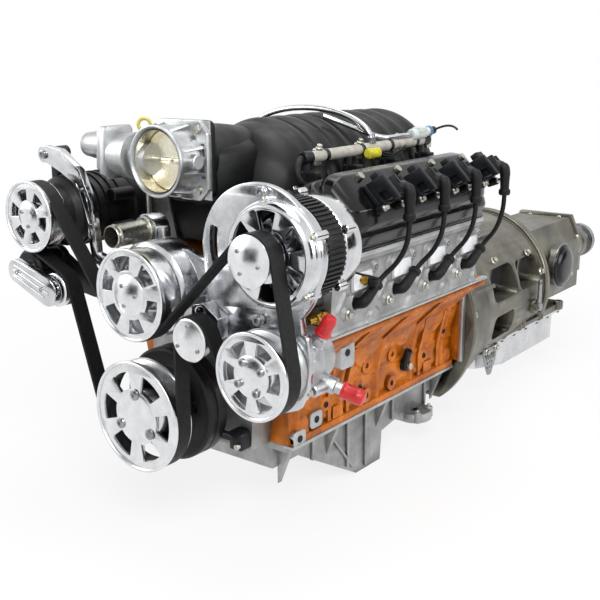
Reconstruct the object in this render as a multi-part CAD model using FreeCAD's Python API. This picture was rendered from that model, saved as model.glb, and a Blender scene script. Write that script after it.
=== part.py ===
import FreeCAD, Part
import math
import os

os.makedirs("parts", exist_ok=True)

# Driving sizes, in millimetres.
# Working axes: X to the driver's side, Y to the rear from the block's front face, Z up from the crank axis.
# Block and crank train
BORE = 103.25
STROKE = 92.0
BORE_SPACING = 111.76
DECK_HEIGHT = 234.7
BANK_STAGGER = 24.1
FIRST_BORE_Y = 74.0
BLOCK_LENGTH = 518.0
DECK_HALF = 76.0
SKIRT_HALF = 150.0
SKIRT_RIBS = (98.0, 150.0, 380.0, 446.0)
SKIRT_RIB_HALF = 4.0
RAIL_PADS = (30.0, 124.0, 412.0, 480.0)
BANK_WAIST = 75.0
RAIL_Z = -72.0
VALLEY_Z = 174.0
BLOCK_REAR_HALF = 176.0
MAIN_R = 32.5
PIN_R = 26.7
PIN_WIDTH = 48.0
COUNTERWEIGHT_CLEAR = 12.7
CRANKCASE_CLEAR = 8.0
WEB_THICK = 24.0
CAM_HEIGHT = 124.8
CAM_R = 27.0
CAP_DEPTH = 60.0
CAP_HALF = 52.0
PISTON_GAP = 0.4
COMPRESSION_HEIGHT = 34.0
PISTON_LENGTH = 54.0
COUNTERWEIGHT_R = DECK_HEIGHT - STROKE - PISTON_LENGTH - COUNTERWEIGHT_CLEAR
CRANKCASE_R = COUNTERWEIGHT_R + CRANKCASE_CLEAR
CORE_PLUG_DROP = 52.7
WRIST_PIN_R = 11.9
RUNNING_GAP = 0.05
BODY_GAP = 0.5
FREE_GAP = 1.0
# Sump
SUMP_DEPTH = 213.0
SUMP_HALF = 116.0
PAN_FRONT_Z = -118.0
PAN_REAR_Z = -128.0
SUMP_FLOOR_FRONT = 236.0
SUMP_FLOOR_REAR = 314.0
PAN_WALL = 4.0
PAN_RAIL_HALF = 146.0
# Heads and covers
GASKET = 1.5
HEAD_LENGTH = 450.0
HEAD_FRONT_Y = 12.0
RAIL_V = 327.0
COVER_HEIGHT = 70.0
COVER_WALL = 3.0
COVER_STEP = 40.0
CROWN_INSET = 8.0
CHAMBER_DEPTH = 12.0
# Intake and throttle
ARCH_Z = 303.0
ARCH_R = 116.0
RUNNER_BULGE = 9.0
DOME_END_Y = 104.0
INTAKE_FRONT_Y = 22.0
INTAKE_REAR_Y = 500.0
INTAKE_BASE_Z = 226.0
INTAKE_SHOULDER_Z = 322.0
RUNNERS = 8
THROTTLE_Z = 376.0
THROTTLE_BORE_R = 45.0
THROTTLE_WALL = 5.0
THROTTLE_FRONT_Y = -116.0
THROTTLE_FLANGE_Y = -58.0
THROTTLE_FLANGE_HALF = 56.0
THROTTLE_SHAFT_R = 5.0
THROTTLE_SHAFT_Y = -88.0
GEAR_HOUSING_R = 36.0
GEAR_NECK_R = 25.0
MOTOR_FLANGE_X = -104.0
MOTOR_Z = THROTTLE_Z + 14.0
MOTOR_R = 21.0
FUEL_RAIL_X = 131.0
FUEL_RAIL_Z = 372.0
FUEL_RAIL_R = 9.0
# Accessory drive
BELT_FRONT_Y = -176.0
BELT_RIBS = 8
RIB_PITCH = 3.56
BELT_THICK = 4.4
DISC_FRONT_Y = -179.0
DISC_THICK = 7.0
CRANK_DISC_R = 87.0
CRANK_GROOVE_R = 81.0
PUMP_X = 0.0
PUMP_Z = 188.5
PUMP_DISC_R = 69.5
PUMP_DRUM_R = 66.0
IDLER_X = 117.0
IDLER_Z = 141.0
IDLER_R = 29.5
ALT_X = 229.6
ALT_Z = 268.0
ALT_DISC_R = 35.4
ALT_GROOVE_R = 32.0
ALT_BODY_R = 74.0
STEER_X = 230.8
STEER_Z = 111.0
STEER_DISC_R = 62.4
STEER_GROOVE_R = 57.0
STEER_DRUM_R = 50.0
COOL_X = -222.7
COOL_Z = 281.8
COOL_DISC_R = 57.0
COOL_GROOVE_R = 50.0
TENSION_PIVOT_X = -245.0
TENSION_PIVOT_Z = 195.0
TENSION_X = -172.0
TENSION_Z = 171.0
TENSION_R = 27.0
BRACKET_FRONT_Y = -118.0
BRACKET_THICK = 12.0
SEAT = 0.3
DAMPER_R = 90.0
SNOUT_R = 19.0
POCKETS = [(132, 250, 22, 88), (266, 376, 22, 84), (132, 236, -58, -8)]
RAIL_BOLTS = [BLOCK_LENGTH + y for y in (112.0, 220.0, 300.0, 400.0, 520.0)]


# Transmission
BELL_R = 195.0
RING_Y = BLOCK_LENGTH + 417.0
RING_R = 164.0
BELL_FLAT_Z = -150.0
FLEX_R = 142.0
CASE_REAR_Y = BLOCK_LENGTH + 767.0
CASE_REAR_HALF = 84.0
TAIL_END_Y = CASE_REAR_Y + 220.0
TAIL_R = 40.0
OUTPUT_R = 20.0
TPAN_RAIL_Z = -76.0
TPAN_HALF = 150.0
TPAN_FRONT_Y = BLOCK_LENGTH + 94.0
TPAN_REAR_Y = TPAN_FRONT_Y + 450.0
TPAN_FRONT_Z = -120.0
TPAN_REAR_Z = -146.0
BELL_WALL = 6.0
CONVERTER_REAR_Y = BLOCK_LENGTH + 76.0
GEAR_ROOM_R = 96.0
GEAR_FRONT_Y = BLOCK_LENGTH + 126.0
GEAR_REAR_Y = BLOCK_LENGTH + 512.0

ROOT2 = math.sqrt(2.0)
BELT_WIDTH = BELT_RIBS * RIB_PITCH
BELT_REAR_Y = BELT_FRONT_Y + BELT_WIDTH
BRACKET_REAR_Y = BRACKET_FRONT_Y + BRACKET_THICK
SUMP_MID_Y = (SUMP_FLOOR_FRONT + SUMP_FLOOR_REAR) / 2
TO_REST = FreeCAD.Vector(0, -SUMP_MID_Y, SUMP_DEPTH)
SIDES = {"left": 1, "right": -1}
FRONTWARD = FreeCAD.Vector(0, -1, 0)
REARWARD = FreeCAD.Vector(0, 1, 0)
UP = FreeCAD.Vector(0, 0, 1)
ACROSS = FreeCAD.Vector(1, 0, 0)


def vec(x, y, z):
    return FreeCAD.Vector(x, y, z)


def save(name, *solids):
    """Write one node: its solids as one shape, moved so that the sump's floor is the origin."""
    shape = solids[0] if len(solids) == 1 else Part.makeCompound(list(solids))
    moved = shape.copy()
    moved.translate(TO_REST)
    moved.exportStep("parts/" + name + ".step")


def join(solids):
    return solids[0].multiFuse(solids[1:]).removeSplitter() if len(solids) > 1 else solids[0]


def block_box(x0, x1, y0, y1, z0, z1):
    return Part.makeBox(x1 - x0, y1 - y0, z1 - z0, vec(x0, y0, z0))


def rod_y(x, z, radius, y0, y1):
    return Part.makeCylinder(radius, y1 - y0, vec(x, y0, z), REARWARD)


def ring_y(x, z, outer, inner, y0, y1):
    return rod_y(x, z, outer, y0, y1).cut(rod_y(x, z, inner, y0 - 1, y1 + 1))


def prism_y(points, y0, y1):
    """A prism along Y from its outline of (x, z) points."""
    corners = [vec(x, y0, z) for x, z in points]
    face = Part.Face(Part.makePolygon(corners + corners[:1]))
    return face.extrude(vec(0, y1 - y0, 0))


def prism_x(points, x0, x1):
    """A prism along X from its outline of (y, z) points."""
    corners = [vec(x0, y, z) for y, z in points]
    face = Part.Face(Part.makePolygon(corners + corners[:1]))
    return face.extrude(vec(x1 - x0, 0, 0))


def turned(x, z, profile, degrees=360.0):
    """A turned solid about a Y-parallel axis from its outline of (radius, y) points."""
    corners = [vec(x + r, y, z) for r, y in profile]
    face = Part.Face(Part.makePolygon(corners + corners[:1]))
    return face.revolve(vec(x, 0, z), FRONTWARD, degrees)


def bank_point(side, u, v, y):
    """u runs outward across the bank's deck and v along its bores."""
    return vec(side * (v + u) / ROOT2, y, (v - u) / ROOT2)


def bank_axis(side):
    return vec(side / ROOT2, 0, 1 / ROOT2)


def bank_prism(side, points, y0, y1):
    corners = [bank_point(side, u, v, y0) for u, v in points]
    face = Part.Face(Part.makePolygon(corners + corners[:1]))
    return face.extrude(vec(0, y1 - y0, 0))


def bank_start(side):
    return 0.0 if side > 0 else BANK_STAGGER


def bore_places(side):
    return [FIRST_BORE_Y + bank_start(side) + i * BORE_SPACING for i in range(4)]


def polar(x, z, radius, degrees):
    a = math.radians(degrees)
    return x + radius * math.cos(a), z + radius * math.sin(a)


def round_edges(shape, radius, chosen):
    edges = [e for e in shape.Edges if chosen(e)]
    return shape.makeFillet(radius, edges) if edges else shape


def runs_along(edge, direction):
    line = edge.Vertexes[-1].Point.sub(edge.Vertexes[0].Point)
    return line.Length > 0 and abs(line.normalize().dot(direction)) > 0.999


# Cylinder block
def pin_y(index):
    return FIRST_BORE_Y + BANK_STAGGER / 2 + index * BORE_SPACING


def main_webs():
    """The five main webs, half way between the crank pins; the end ones reach the block's faces."""
    centres = [pin_y(i) - BORE_SPACING / 2 for i in range(5)]
    webs = [(y - WEB_THICK / 2, y + WEB_THICK / 2) for y in centres]
    return webs


def crankcase_bays():
    """The four bays between the main webs, open to the sump."""
    webs = main_webs()
    return [(webs[i][1], webs[i + 1][0]) for i in range(4)]


def block_section():
    deck_out = ((DECK_HEIGHT + DECK_HALF) / ROOT2, (DECK_HEIGHT - DECK_HALF) / ROOT2)
    deck_in = ((DECK_HEIGHT - DECK_HALF) / ROOT2, (DECK_HEIGHT + DECK_HALF) / ROOT2)
    bank_low = ((DECK_HEIGHT - BANK_WAIST + DECK_HALF) / ROOT2, (DECK_HEIGHT - BANK_WAIST - DECK_HALF) / ROOT2)
    valley = ((VALLEY_Z * ROOT2 - DECK_HALF - DECK_HALF) / ROOT2, VALLEY_Z)
    half = [(SKIRT_HALF, RAIL_Z), (SKIRT_HALF, -12), (bank_low[0], bank_low[1]), deck_out, deck_in, valley]
    return half


def engine_block():
    half = block_section()
    body = prism_y(half + [(-x, z) for x, z in reversed(half)], 0, BLOCK_LENGTH)
    trims = []
    for side in (1, -1):
        y0, y1 = (BLOCK_LENGTH - BANK_STAGGER, BLOCK_LENGTH + 1) if side > 0 else (-1, BANK_STAGGER)
        corner = [(DECK_HALF + 30, 150), (DECK_HALF + 30, DECK_HEIGHT + 5), (-DECK_HALF - 5, DECK_HEIGHT + 5),
                  (-DECK_HALF - 5, 170), (0, 150)]
        trims.append(bank_prism(side, corner, y0, y1))
        for y in bore_places(side):
            trims.append(Part.makeCylinder(BORE / 2, 240, bank_point(side, 0, 40, y), bank_axis(side)))
    for y0, y1 in crankcase_bays():
        trims.append(rod_y(0, 0, CRANKCASE_R, y0, y1))
        trims.append(block_box(-CRANKCASE_R, CRANKCASE_R, y0, y1, RAIL_Z - 1, 0))
    trims.append(block_box(-CAP_HALF - SEAT, CAP_HALF + SEAT, -1, BLOCK_LENGTH + 1, RAIL_Z - 1, 0))
    trims.append(rod_y(0, 0, MAIN_R, -1, BLOCK_LENGTH + 1))
    trims.append(rod_y(0, CAM_HEIGHT, CAM_R + RUNNING_GAP, -1, BLOCK_LENGTH - 14))
    body = body.cut(Part.makeCompound(trims))
    flange = prism_y([(-BLOCK_REAR_HALF, -60), (BLOCK_REAR_HALF, -60), (BLOCK_REAR_HALF, 70), (165, 96), (70, 168),
                      (-70, 168), (-165, 96), (-BLOCK_REAR_HALF, 70)], BLOCK_LENGTH - 12, BLOCK_LENGTH)
    flange = flange.cut(rod_y(0, 0, CRANKCASE_R, BLOCK_LENGTH - 40, BLOCK_LENGTH + 1))
    added = [flange]
    for side in (1, -1):
        added += block_side(side)
    return join([body] + added).cut(Part.makeCompound(block_holes()))


# Where the engine mounts bolt to each side of the block
MOUNT_Y = (206.0, 286.0)
MOUNT_Z = (-46.0, 8.0)
MOUNT_FACE_X = 158.0
MOUNT_BOLT_R = 5.1
MOUNT_BOLT_DEPTH = 26.0


def block_side(side):
    """Ribs, core plug bosses and mount bosses on one side of the block."""
    made = []
    for y in MOUNT_Y:
        for z in MOUNT_Z:
            made.append(Part.makeCylinder(13, MOUNT_FACE_X - 120, vec(side * 120, y, z), vec(side, 0, 0)))
    start = bank_start(side)
    for y in bore_places(side)[:3]:
        rib_y = y + BORE_SPACING / 2
        rib = [(DECK_HALF - 2, 92), (DECK_HALF + 9, 150), (DECK_HALF + 9, DECK_HEIGHT - 12), (DECK_HALF - 2, 226)]
        made.append(bank_prism(side, rib, rib_y - 5, rib_y + 5))
    low = [(DECK_HALF - 2, DECK_HEIGHT - 24), (DECK_HALF + 6, DECK_HEIGHT - 20), (DECK_HALF + 6, DECK_HEIGHT - 0.5),
           (DECK_HALF - 2, DECK_HEIGHT - 0.5)]
    made.append(bank_prism(side, low, start + 1, start + BLOCK_LENGTH - BANK_STAGGER - 13))
    bulge_x = (DECK_HEIGHT - BANK_WAIST + DECK_HALF) / ROOT2
    bulge_z = (DECK_HEIGHT - BANK_WAIST - DECK_HALF) / ROOT2
    web = [(SKIRT_HALF - 2, RAIL_Z + 8), (SKIRT_HALF + 7, RAIL_Z + 14), (SKIRT_HALF + 7, -16),
           (bulge_x + 7, bulge_z - 4), (bulge_x - 3, bulge_z + 2), (SKIRT_HALF - 2, -12)]
    for y in SKIRT_RIBS:
        points = [(side * x, z) for x, z in web]
        made.append(prism_y(points if side > 0 else points[::-1], y - SKIRT_RIB_HALF, y + SKIRT_RIB_HALF))
    for y in RAIL_PADS:
        low, high = sorted((side * (SKIRT_HALF - 4), side * (SKIRT_HALF + 6)))
        made.append(block_box(low, high, y - 14, y + 14, RAIL_Z + 10, RAIL_Z + 34))
    rail = [(side * (SKIRT_HALF - 3), RAIL_Z), (side * (SKIRT_HALF + 8), RAIL_Z),
            (side * (SKIRT_HALF + 8), RAIL_Z + 12), (side * (SKIRT_HALF - 3), RAIL_Z + 18)]
    made.append(prism_y(rail if side > 0 else rail[::-1], 2, BLOCK_LENGTH - 14))
    return made


def block_holes():
    made = [rod_z(STICK_X, STICK_Y, STICK_TUBE_R + SEAT, -45, 90)]
    for side in (1, -1):
        for y in MOUNT_Y:
            for z in MOUNT_Z:
                mouth = vec(side * (MOUNT_FACE_X + 1), y, z)
                made.append(Part.makeCylinder(MOUNT_BOLT_R, MOUNT_BOLT_DEPTH + 1, mouth, vec(-side, 0, 0)))
    return made


def bearing_caps():
    caps = []
    for y0, y1 in main_webs():
        cap = block_box(-CAP_HALF, CAP_HALF, y0 + 1, y1 - 1, -CAP_DEPTH, 0)
        caps.append(cap.cut(rod_y(0, 0, MAIN_R, y0, y1)))
    return caps


def crank_pin(index):
    """Centre of one crank pin: (x, z, y); the cross-plane order turns each pin a quarter from the last."""
    angle = (90, 180, 0, 270)[index] - 45
    x, z = polar(0, 0, STROKE / 2, angle)
    return x, z, pin_y(index), angle


def crankshaft():
    made = [rod_y(0, 0, SNOUT_R, -134, 2)]
    made.append(rod_y(0, 0, MAIN_R - RUNNING_GAP, 1, BLOCK_LENGTH + 1))
    made.append(rod_y(0, 0, 46, BLOCK_LENGTH + FREE_GAP, BLOCK_LENGTH + 12))
    made.append(sprocket(0, CRANK_SPROCKET_R, 22, SNOUT_R - 2))
    core = join(made)
    pins = []
    for index in range(4):
        x, z, y, angle = crank_pin(index)
        bay0, bay1 = crankcase_bays()[index]
        pins.append(rod_y(x, z, PIN_R, bay0 + 3, bay1 - 3))
        for y0, y1 in ((bay0 + 3, y - PIN_WIDTH / 2), (y + PIN_WIDTH / 2, bay1 - 3)):
            pins.append(crank_web(angle, y0, y1))
        gap = rod_y(0, 0, MAIN_R + 3, y - PIN_WIDTH / 2, y + PIN_WIDTH / 2)
        core = core.cut(gap)
    return join([core] + pins)


def crank_web(angle, y0, y1):
    """One cheek with its counterweight opposite the pin."""
    weight = rod_y(0, 0, COUNTERWEIGHT_R, y0, y1)
    side_cut = 150.0
    for turn in (-1, 1):
        wedge = block_box(8, side_cut, y0 - 1, y1 + 1, -side_cut, side_cut)
        wedge.rotate(vec(0, 0, 0), FRONTWARD, angle + turn * 30)
        weight = weight.cut(wedge)
    x, z = polar(0, 0, STROKE / 2, angle)
    return join([weight, rod_y(x, z, PIN_R + 5, y0, y1), rod_y(x / 2, z / 2, MAIN_R + 5, y0, y1)])


def camshaft():
    made = [rod_y(0, CAM_HEIGHT, 16, -4, BLOCK_LENGTH - 18)]
    for y0, y1 in main_webs()[:4]:
        made.append(rod_y(0, CAM_HEIGHT, CAM_R, y0 + 1, y1 - 1))
    made.append(rod_y(0, CAM_HEIGHT, CAM_R, BLOCK_LENGTH - 40, BLOCK_LENGTH - 18))
    turn = 0
    for bank in (1, -1):
        for y in bore_places(bank):
            for offset in (-19, 19):
                x, z = polar(0, CAM_HEIGHT, 6.5, turn)
                made.append(rod_y(x, z, 17.5, y + offset - 6, y + offset + 6))
                turn += 112.5
    return join(made)


def piston(side, y, stroke_down):
    """A piston with its ring grooves and pin, at its place in the stroke."""
    crown_v = STROKE / 2 + DECK_HEIGHT - STROKE / 2 - 1 - stroke_down
    r = BORE / 2 - PISTON_GAP
    base = bank_point(side, 0, crown_v - PISTON_LENGTH, y)
    body = Part.makeCylinder(r, PISTON_LENGTH, base, bank_axis(side))
    cuts = [Part.makeCylinder(r - 8, PISTON_LENGTH - 10, base, bank_axis(side))]
    for depth in (6, 12, 18):
        at = bank_point(side, 0, crown_v - depth - 2, y)
        outer = Part.makeCylinder(r + 1, 2, at, bank_axis(side))
        cuts.append(outer.cut(Part.makeCylinder(r - 3, 2, at, bank_axis(side))))
    body = body.cut(Part.makeCompound(cuts))
    pin_at = bank_point(side, 0, crown_v - COMPRESSION_HEIGHT, y - r + 6)
    return body.fuse(Part.makeCylinder(WRIST_PIN_R, 2 * r - 12, pin_at, REARWARD))


def piston_drop(index, side):
    """How far a piston stands below its top, from its crank pin's angle to the bank's own axis."""
    lean = 45.0 if side > 0 else 135.0
    angle = math.radians(crank_pin(index)[3] - lean)
    rod = 155.0
    throw = STROKE / 2
    reach = throw * math.cos(angle) + math.sqrt(rod ** 2 - (throw * math.sin(angle)) ** 2)
    return rod + throw - reach


# Timing drive behind its cover
SPROCKET_Y = (-24.0, -10.0)
CHAIN_Y = (-22.0, -12.0)
CRANK_SPROCKET_R = 33.0
CAM_SPROCKET_R = 66.0
CHAIN_THICK = 7.0
COVER_FRONT_Y = -46.0


def sprocket(z, radius, teeth, hole):
    blank = ring_y(0, z, radius, hole, SPROCKET_Y[0], SPROCKET_Y[1])
    notches = []
    for i in range(teeth):
        x, top = polar(0, z, radius + 1.2, i * 360.0 / teeth)
        notches.append(rod_y(x, top, 3.0, SPROCKET_Y[0] - 1, SPROCKET_Y[1] + 1))
    return blank.cut(Part.makeCompound(notches))


def loop_band(stops, thick, y0, y1):
    """A closed band round circles (x, z, band centre radius, turn): turn +1 is anticlockwise from the front."""
    joints = []
    for i, (x0, z0, r0, s0) in enumerate(stops):
        x1, z1, r1, s1 = stops[(i + 1) % len(stops)]
        span = math.hypot(x1 - x0, z1 - z0)
        heading = math.atan2(z1 - z0, x1 - x0) - math.asin((s1 * r1 - s0 * r0) / span)
        nx, nz = -math.sin(heading), math.cos(heading)
        joints.append(((x0 - s0 * r0 * nx, z0 - s0 * r0 * nz), (x1 - s1 * r1 * nx, z1 - s1 * r1 * nz), (nx, nz)))
    faces = []
    for offset in (thick / 2, -thick / 2):
        edges = []
        for i, (start, end, normal) in enumerate(joints):
            a = vec(start[0] + offset * normal[0], y0, start[1] + offset * normal[1])
            b = vec(end[0] + offset * normal[0], y0, end[1] + offset * normal[1])
            edges.append(Part.LineSegment(a, b).toShape())
            x, z, r, s = stops[(i + 1) % len(stops)]
            following = joints[(i + 1) % len(joints)]
            c = vec(following[0][0] + offset * following[2][0], y0, following[0][1] + offset * following[2][1])
            a0 = math.atan2(b.z - z, b.x - x)
            a1 = math.atan2(c.z - z, c.x - x)
            sweep = (s * (a1 - a0)) % (2 * math.pi)
            middle = a0 + s * sweep / 2
            reach = math.hypot(b.x - x, b.z - z)
            mid = vec(x + reach * math.cos(middle), y0, z + reach * math.sin(middle))
            edges.append(Part.Arc(b, mid, c).toShape())
        faces.append(Part.Face(Part.Wire(edges)))
    outer, inner = sorted(faces, key=lambda f: f.Area, reverse=True)
    return outer.cut(inner).extrude(vec(0, y1 - y0, 0)).Solids[0]


def timing_chain():
    grow = BODY_GAP + CHAIN_THICK / 2
    stops = [(0, 0, CRANK_SPROCKET_R + grow, 1), (0, CAM_HEIGHT, CAM_SPROCKET_R + grow, 1)]
    return loop_band(stops, CHAIN_THICK, CHAIN_Y[0], CHAIN_Y[1])


def timing_cover():
    outline = [(-112, RAIL_Z), (112, RAIL_Z), (116, -20), (96, 60), (96, 176), (60, 216), (-60, 216), (-96, 176),
               (-96, 60), (-116, -20)]
    inside = [(-104, RAIL_Z - 1), (104, RAIL_Z - 1), (108, -18), (89, 60), (89, 172), (56, 209), (-56, 209),
              (-89, 172), (-89, 60), (-108, -18)]
    shell = prism_y(outline, COVER_FRONT_Y, -0.3).cut(prism_y(inside, COVER_FRONT_Y + 6, 1))
    boss = ring_y(0, 0, 42, SNOUT_R + FREE_GAP, COVER_FRONT_Y - 10, COVER_FRONT_Y + 6)
    return join([shell.cut(rod_y(0, 0, 40, -60, -30)), boss])


def oil_pan():
    """The front-sump pan: a shallow front, a ramp down to the sump floor and a stepped rear."""
    def outline(inset, lift):
        return [(inset, RAIL_Z + lift), (inset, PAN_FRONT_Z + inset), (66, PAN_FRONT_Z + inset),
                (SUMP_FLOOR_FRONT, -SUMP_DEPTH + inset), (SUMP_FLOOR_REAR - inset, -SUMP_DEPTH + inset),
                (SUMP_FLOOR_REAR + 5 - inset, -158 + inset), (392, -146 + inset), (398, -166 + inset),
                (474 - inset, -166 + inset), (480 - inset, PAN_REAR_Z + inset),
                (BLOCK_LENGTH - inset, PAN_REAR_Z + inset), (BLOCK_LENGTH - inset, RAIL_Z + lift)]
    gap = 0.3
    shell = prism_x(outline(0, -gap), -SUMP_HALF, SUMP_HALF)
    shell = shell.cut(prism_x(outline(PAN_WALL, 1), -SUMP_HALF + PAN_WALL, SUMP_HALF - PAN_WALL))
    rim = block_box(-PAN_RAIL_HALF, PAN_RAIL_HALF, 0, BLOCK_LENGTH, RAIL_Z - gap - 11, RAIL_Z - gap)
    rim = rim.cut(block_box(-SUMP_HALF + PAN_WALL, SUMP_HALF - PAN_WALL, PAN_WALL, BLOCK_LENGTH - PAN_WALL,
                            RAIL_Z - 20, RAIL_Z + 1))
    filter_pad = rod_z(SUMP_HALF + 2, 432, 34, -166, -150)
    buttress = [(SUMP_HALF - 2, RAIL_Z - 4), (PAN_RAIL_HALF - 2, RAIL_Z - 4), (SUMP_HALF - 2, -150)]
    drain = Part.makeCylinder(11, 12, vec(SUMP_HALF - 20, SUMP_FLOOR_REAR - 1, -SUMP_DEPTH + 16), REARWARD)
    parts = [shell, rim, filter_pad, drain]
    for y in (20, 150, SUMP_FLOOR_REAR - 10, 500):
        for side in (1, -1):
            points = [(side * x, z) for x, z in buttress]
            parts.append(prism_y(points if side > 0 else points[::-1], y - 5, y + 5))
    return join(parts)


def rod_z(x, y, radius, z0, z1):
    return Part.makeCylinder(radius, z1 - z0, vec(x, y, z0), UP)


def rod_x(y, z, radius, x0, x1):
    return Part.makeCylinder(radius, x1 - x0, vec(x0, y, z), ACROSS)


# Heads, gaskets and valve covers
HEAD_SECTION = [(DECK_HALF, DECK_HEIGHT + GASKET), (-5, RAIL_V), (-130, RAIL_V),
                (-DECK_HALF, DECK_HEIGHT + GASKET)]
HEAD_LOW_Z = (DECK_HEIGHT + GASKET - DECK_HALF) / ROOT2
PLUG_Z = HEAD_LOW_Z + 46.7
PLUG_R = 10.0
PLUG_DEPTH = 24.6
BOOT_DEPTH = 16.0
PORT_Z = HEAD_LOW_Z + 82.7
INTAKE_PORT_Z = ((DECK_HEIGHT + GASKET + DECK_HALF) + (RAIL_V + 130)) / ROOT2 / 2
PORT_R = 21.0


def head_y(side):
    return HEAD_FRONT_Y + bank_start(side)


def outer_face_x(z):
    """Where the head's exhaust face stands at a height."""
    low = bank_point(1, DECK_HALF, DECK_HEIGHT + GASKET, 0)
    high = bank_point(1, -5, RAIL_V, 0)
    return low.x + (high.x - low.x) * (z - low.z) / (high.z - low.z)


def cylinder_head(side):
    y0 = head_y(side)
    body = bank_prism(side, HEAD_SECTION, y0, y0 + HEAD_LENGTH)
    cuts = []
    trough = [(-14, RAIL_V + 1), (-121, RAIL_V + 1), (-121, RAIL_V - 22), (-14, RAIL_V - 22)]
    cuts.append(bank_prism(side, trough, y0 + 10, y0 + HEAD_LENGTH - 10))
    for y in bore_places(side):
        cuts.append(Part.makeCylinder(BORE / 2 - 4, CHAMBER_DEPTH, bank_point(side, 0, DECK_HEIGHT, y),
                                      bank_axis(side)))
        cuts.append(Part.makeCylinder(PORT_R, 40, vec(side * 240, y, PORT_Z), vec(-side, 0, -0.2)))
        well = plug_mouth(side, y).add(plug_out(side).multiply(14))
        cuts.append(Part.makeCylinder(PLUG_R + 5, 14 + PLUG_DEPTH, well, plug_out(side).multiply(-1)))
        mouth = vec(side * (intake_face_x(INTAKE_PORT_Z) - 26), y, INTAKE_PORT_Z)
        cuts.append(Part.makeCylinder(PORT_R - 3, 36, mouth, vec(side, 0, -0.25)))
    return body.cut(Part.makeCompound(cuts))


def head_gasket(side):
    y0 = head_y(side)
    points = [(DECK_HALF, DECK_HEIGHT), (DECK_HALF, DECK_HEIGHT + GASKET), (-DECK_HALF, DECK_HEIGHT + GASKET),
              (-DECK_HALF, DECK_HEIGHT)]
    sheet = bank_prism(side, points, y0, y0 + HEAD_LENGTH)
    holes = [Part.makeCylinder(BORE / 2, 8, bank_point(side, 0, DECK_HEIGHT - 3, y), bank_axis(side))
             for y in bore_places(side)]
    return sheet.cut(Part.makeCompound(holes))


def cover_shoulder(inset):
    """Lower step of a cover's section."""
    base = RAIL_V if inset == 0 else RAIL_V - 1
    return [(-6 - inset, base), (-8 - inset, RAIL_V + COVER_STEP - 10), (-16 - inset, RAIL_V + COVER_STEP - inset),
            (-118 + inset, RAIL_V + COVER_STEP - inset), (-126 + inset, RAIL_V + COVER_STEP - 10),
            (-130 + inset, base)]


def cover_crown(inset):
    """Upper step, which carries the coils."""
    base = RAIL_V + COVER_STEP - 10
    top = RAIL_V + COVER_HEIGHT - inset
    return [(-14 - inset, base), (-18 - inset, top - 18), (-36 - inset / 2, top), (-100 + inset / 2, top),
            (-116 + inset, top - 12), (-120 + inset, base)]


def valve_cover(side):
    y0 = head_y(side) + 4
    y1 = y0 + HEAD_LENGTH - 8
    shoulder = bank_prism(side, cover_shoulder(0), y0, y1)
    crown = bank_prism(side, cover_crown(0), y0 + CROWN_INSET, y1 - CROWN_INSET)
    for_end = [e for e in shoulder.Edges if not runs_along(e, REARWARD) and e.CenterOfMass.y < y0 + 1
               and bank_height(side, e.CenterOfMass) > RAIL_V + 6]
    shoulder = shoulder.makeFillet(10, for_end)
    for_end = [e for e in crown.Edges if not runs_along(e, REARWARD) and e.CenterOfMass.y < y0 + CROWN_INSET + 1
               and bank_height(side, e.CenterOfMass) > RAIL_V + COVER_STEP]
    crown = crown.makeFillet(9, for_end)
    thick = COVER_WALL + 4
    hollow = [bank_prism(side, cover_shoulder(thick), y0 + 14, y1 - 8),
              bank_prism(side, cover_crown(thick), y0 + CROWN_INSET + 14, y1 - CROWN_INSET - 8)]
    rail = [(-5, RAIL_V), (-5, RAIL_V + 9), (-131, RAIL_V + 9), (-131, RAIL_V)]
    band = bank_prism(side, rail, y0 - 3, y1 + 3)
    cuts = hollow
    if side < 0:
        cuts.append(Part.makeCylinder(CAP_NECK_R, 40, cap_seat(-20), bank_axis(-1)))
    return join([shoulder, crown, band]).cut(Part.makeCompound(cuts))


def bank_height(side, point):
    return (side * point.x + point.z) / ROOT2


CAP_NECK_R = 17.0
CAP_Y = 72.0


def cap_seat(lift):
    return bank_point(-1, -70, RAIL_V + COVER_HEIGHT + lift, CAP_Y)


def oil_filler_cap():
    stem = Part.makeCylinder(CAP_NECK_R - BODY_GAP, 10, cap_seat(-9.5), bank_axis(-1))
    head = Part.makeCylinder(26, 16, cap_seat(BODY_GAP), bank_axis(-1))
    grip = []
    for i in range(8):
        a = math.radians(45 * i)
        out = vec(0, math.cos(a), 0).add(bank_point(-1, 1, 0, 0).multiply(math.sin(a)))
        at = cap_seat(BODY_GAP + 4).add(out.multiply(28.5))
        grip.append(Part.makeCylinder(5, 14, at, bank_axis(-1)))
    return join([stem, head]).cut(Part.makeCompound(grip))


# Ignition: a coil for each cylinder on the cover's outer top, a wire and a boot down to each plug
COIL_PITCH = 104.0
COIL_FIRST_Y = 112.0
COIL_BASE_V = RAIL_V + COVER_HEIGHT + SEAT
WIRE_R = 4.0
BOOT_R = 9.0


def coil_places(side):
    return [COIL_FIRST_Y + bank_start(side) + i * COIL_PITCH for i in range(4)]


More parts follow.
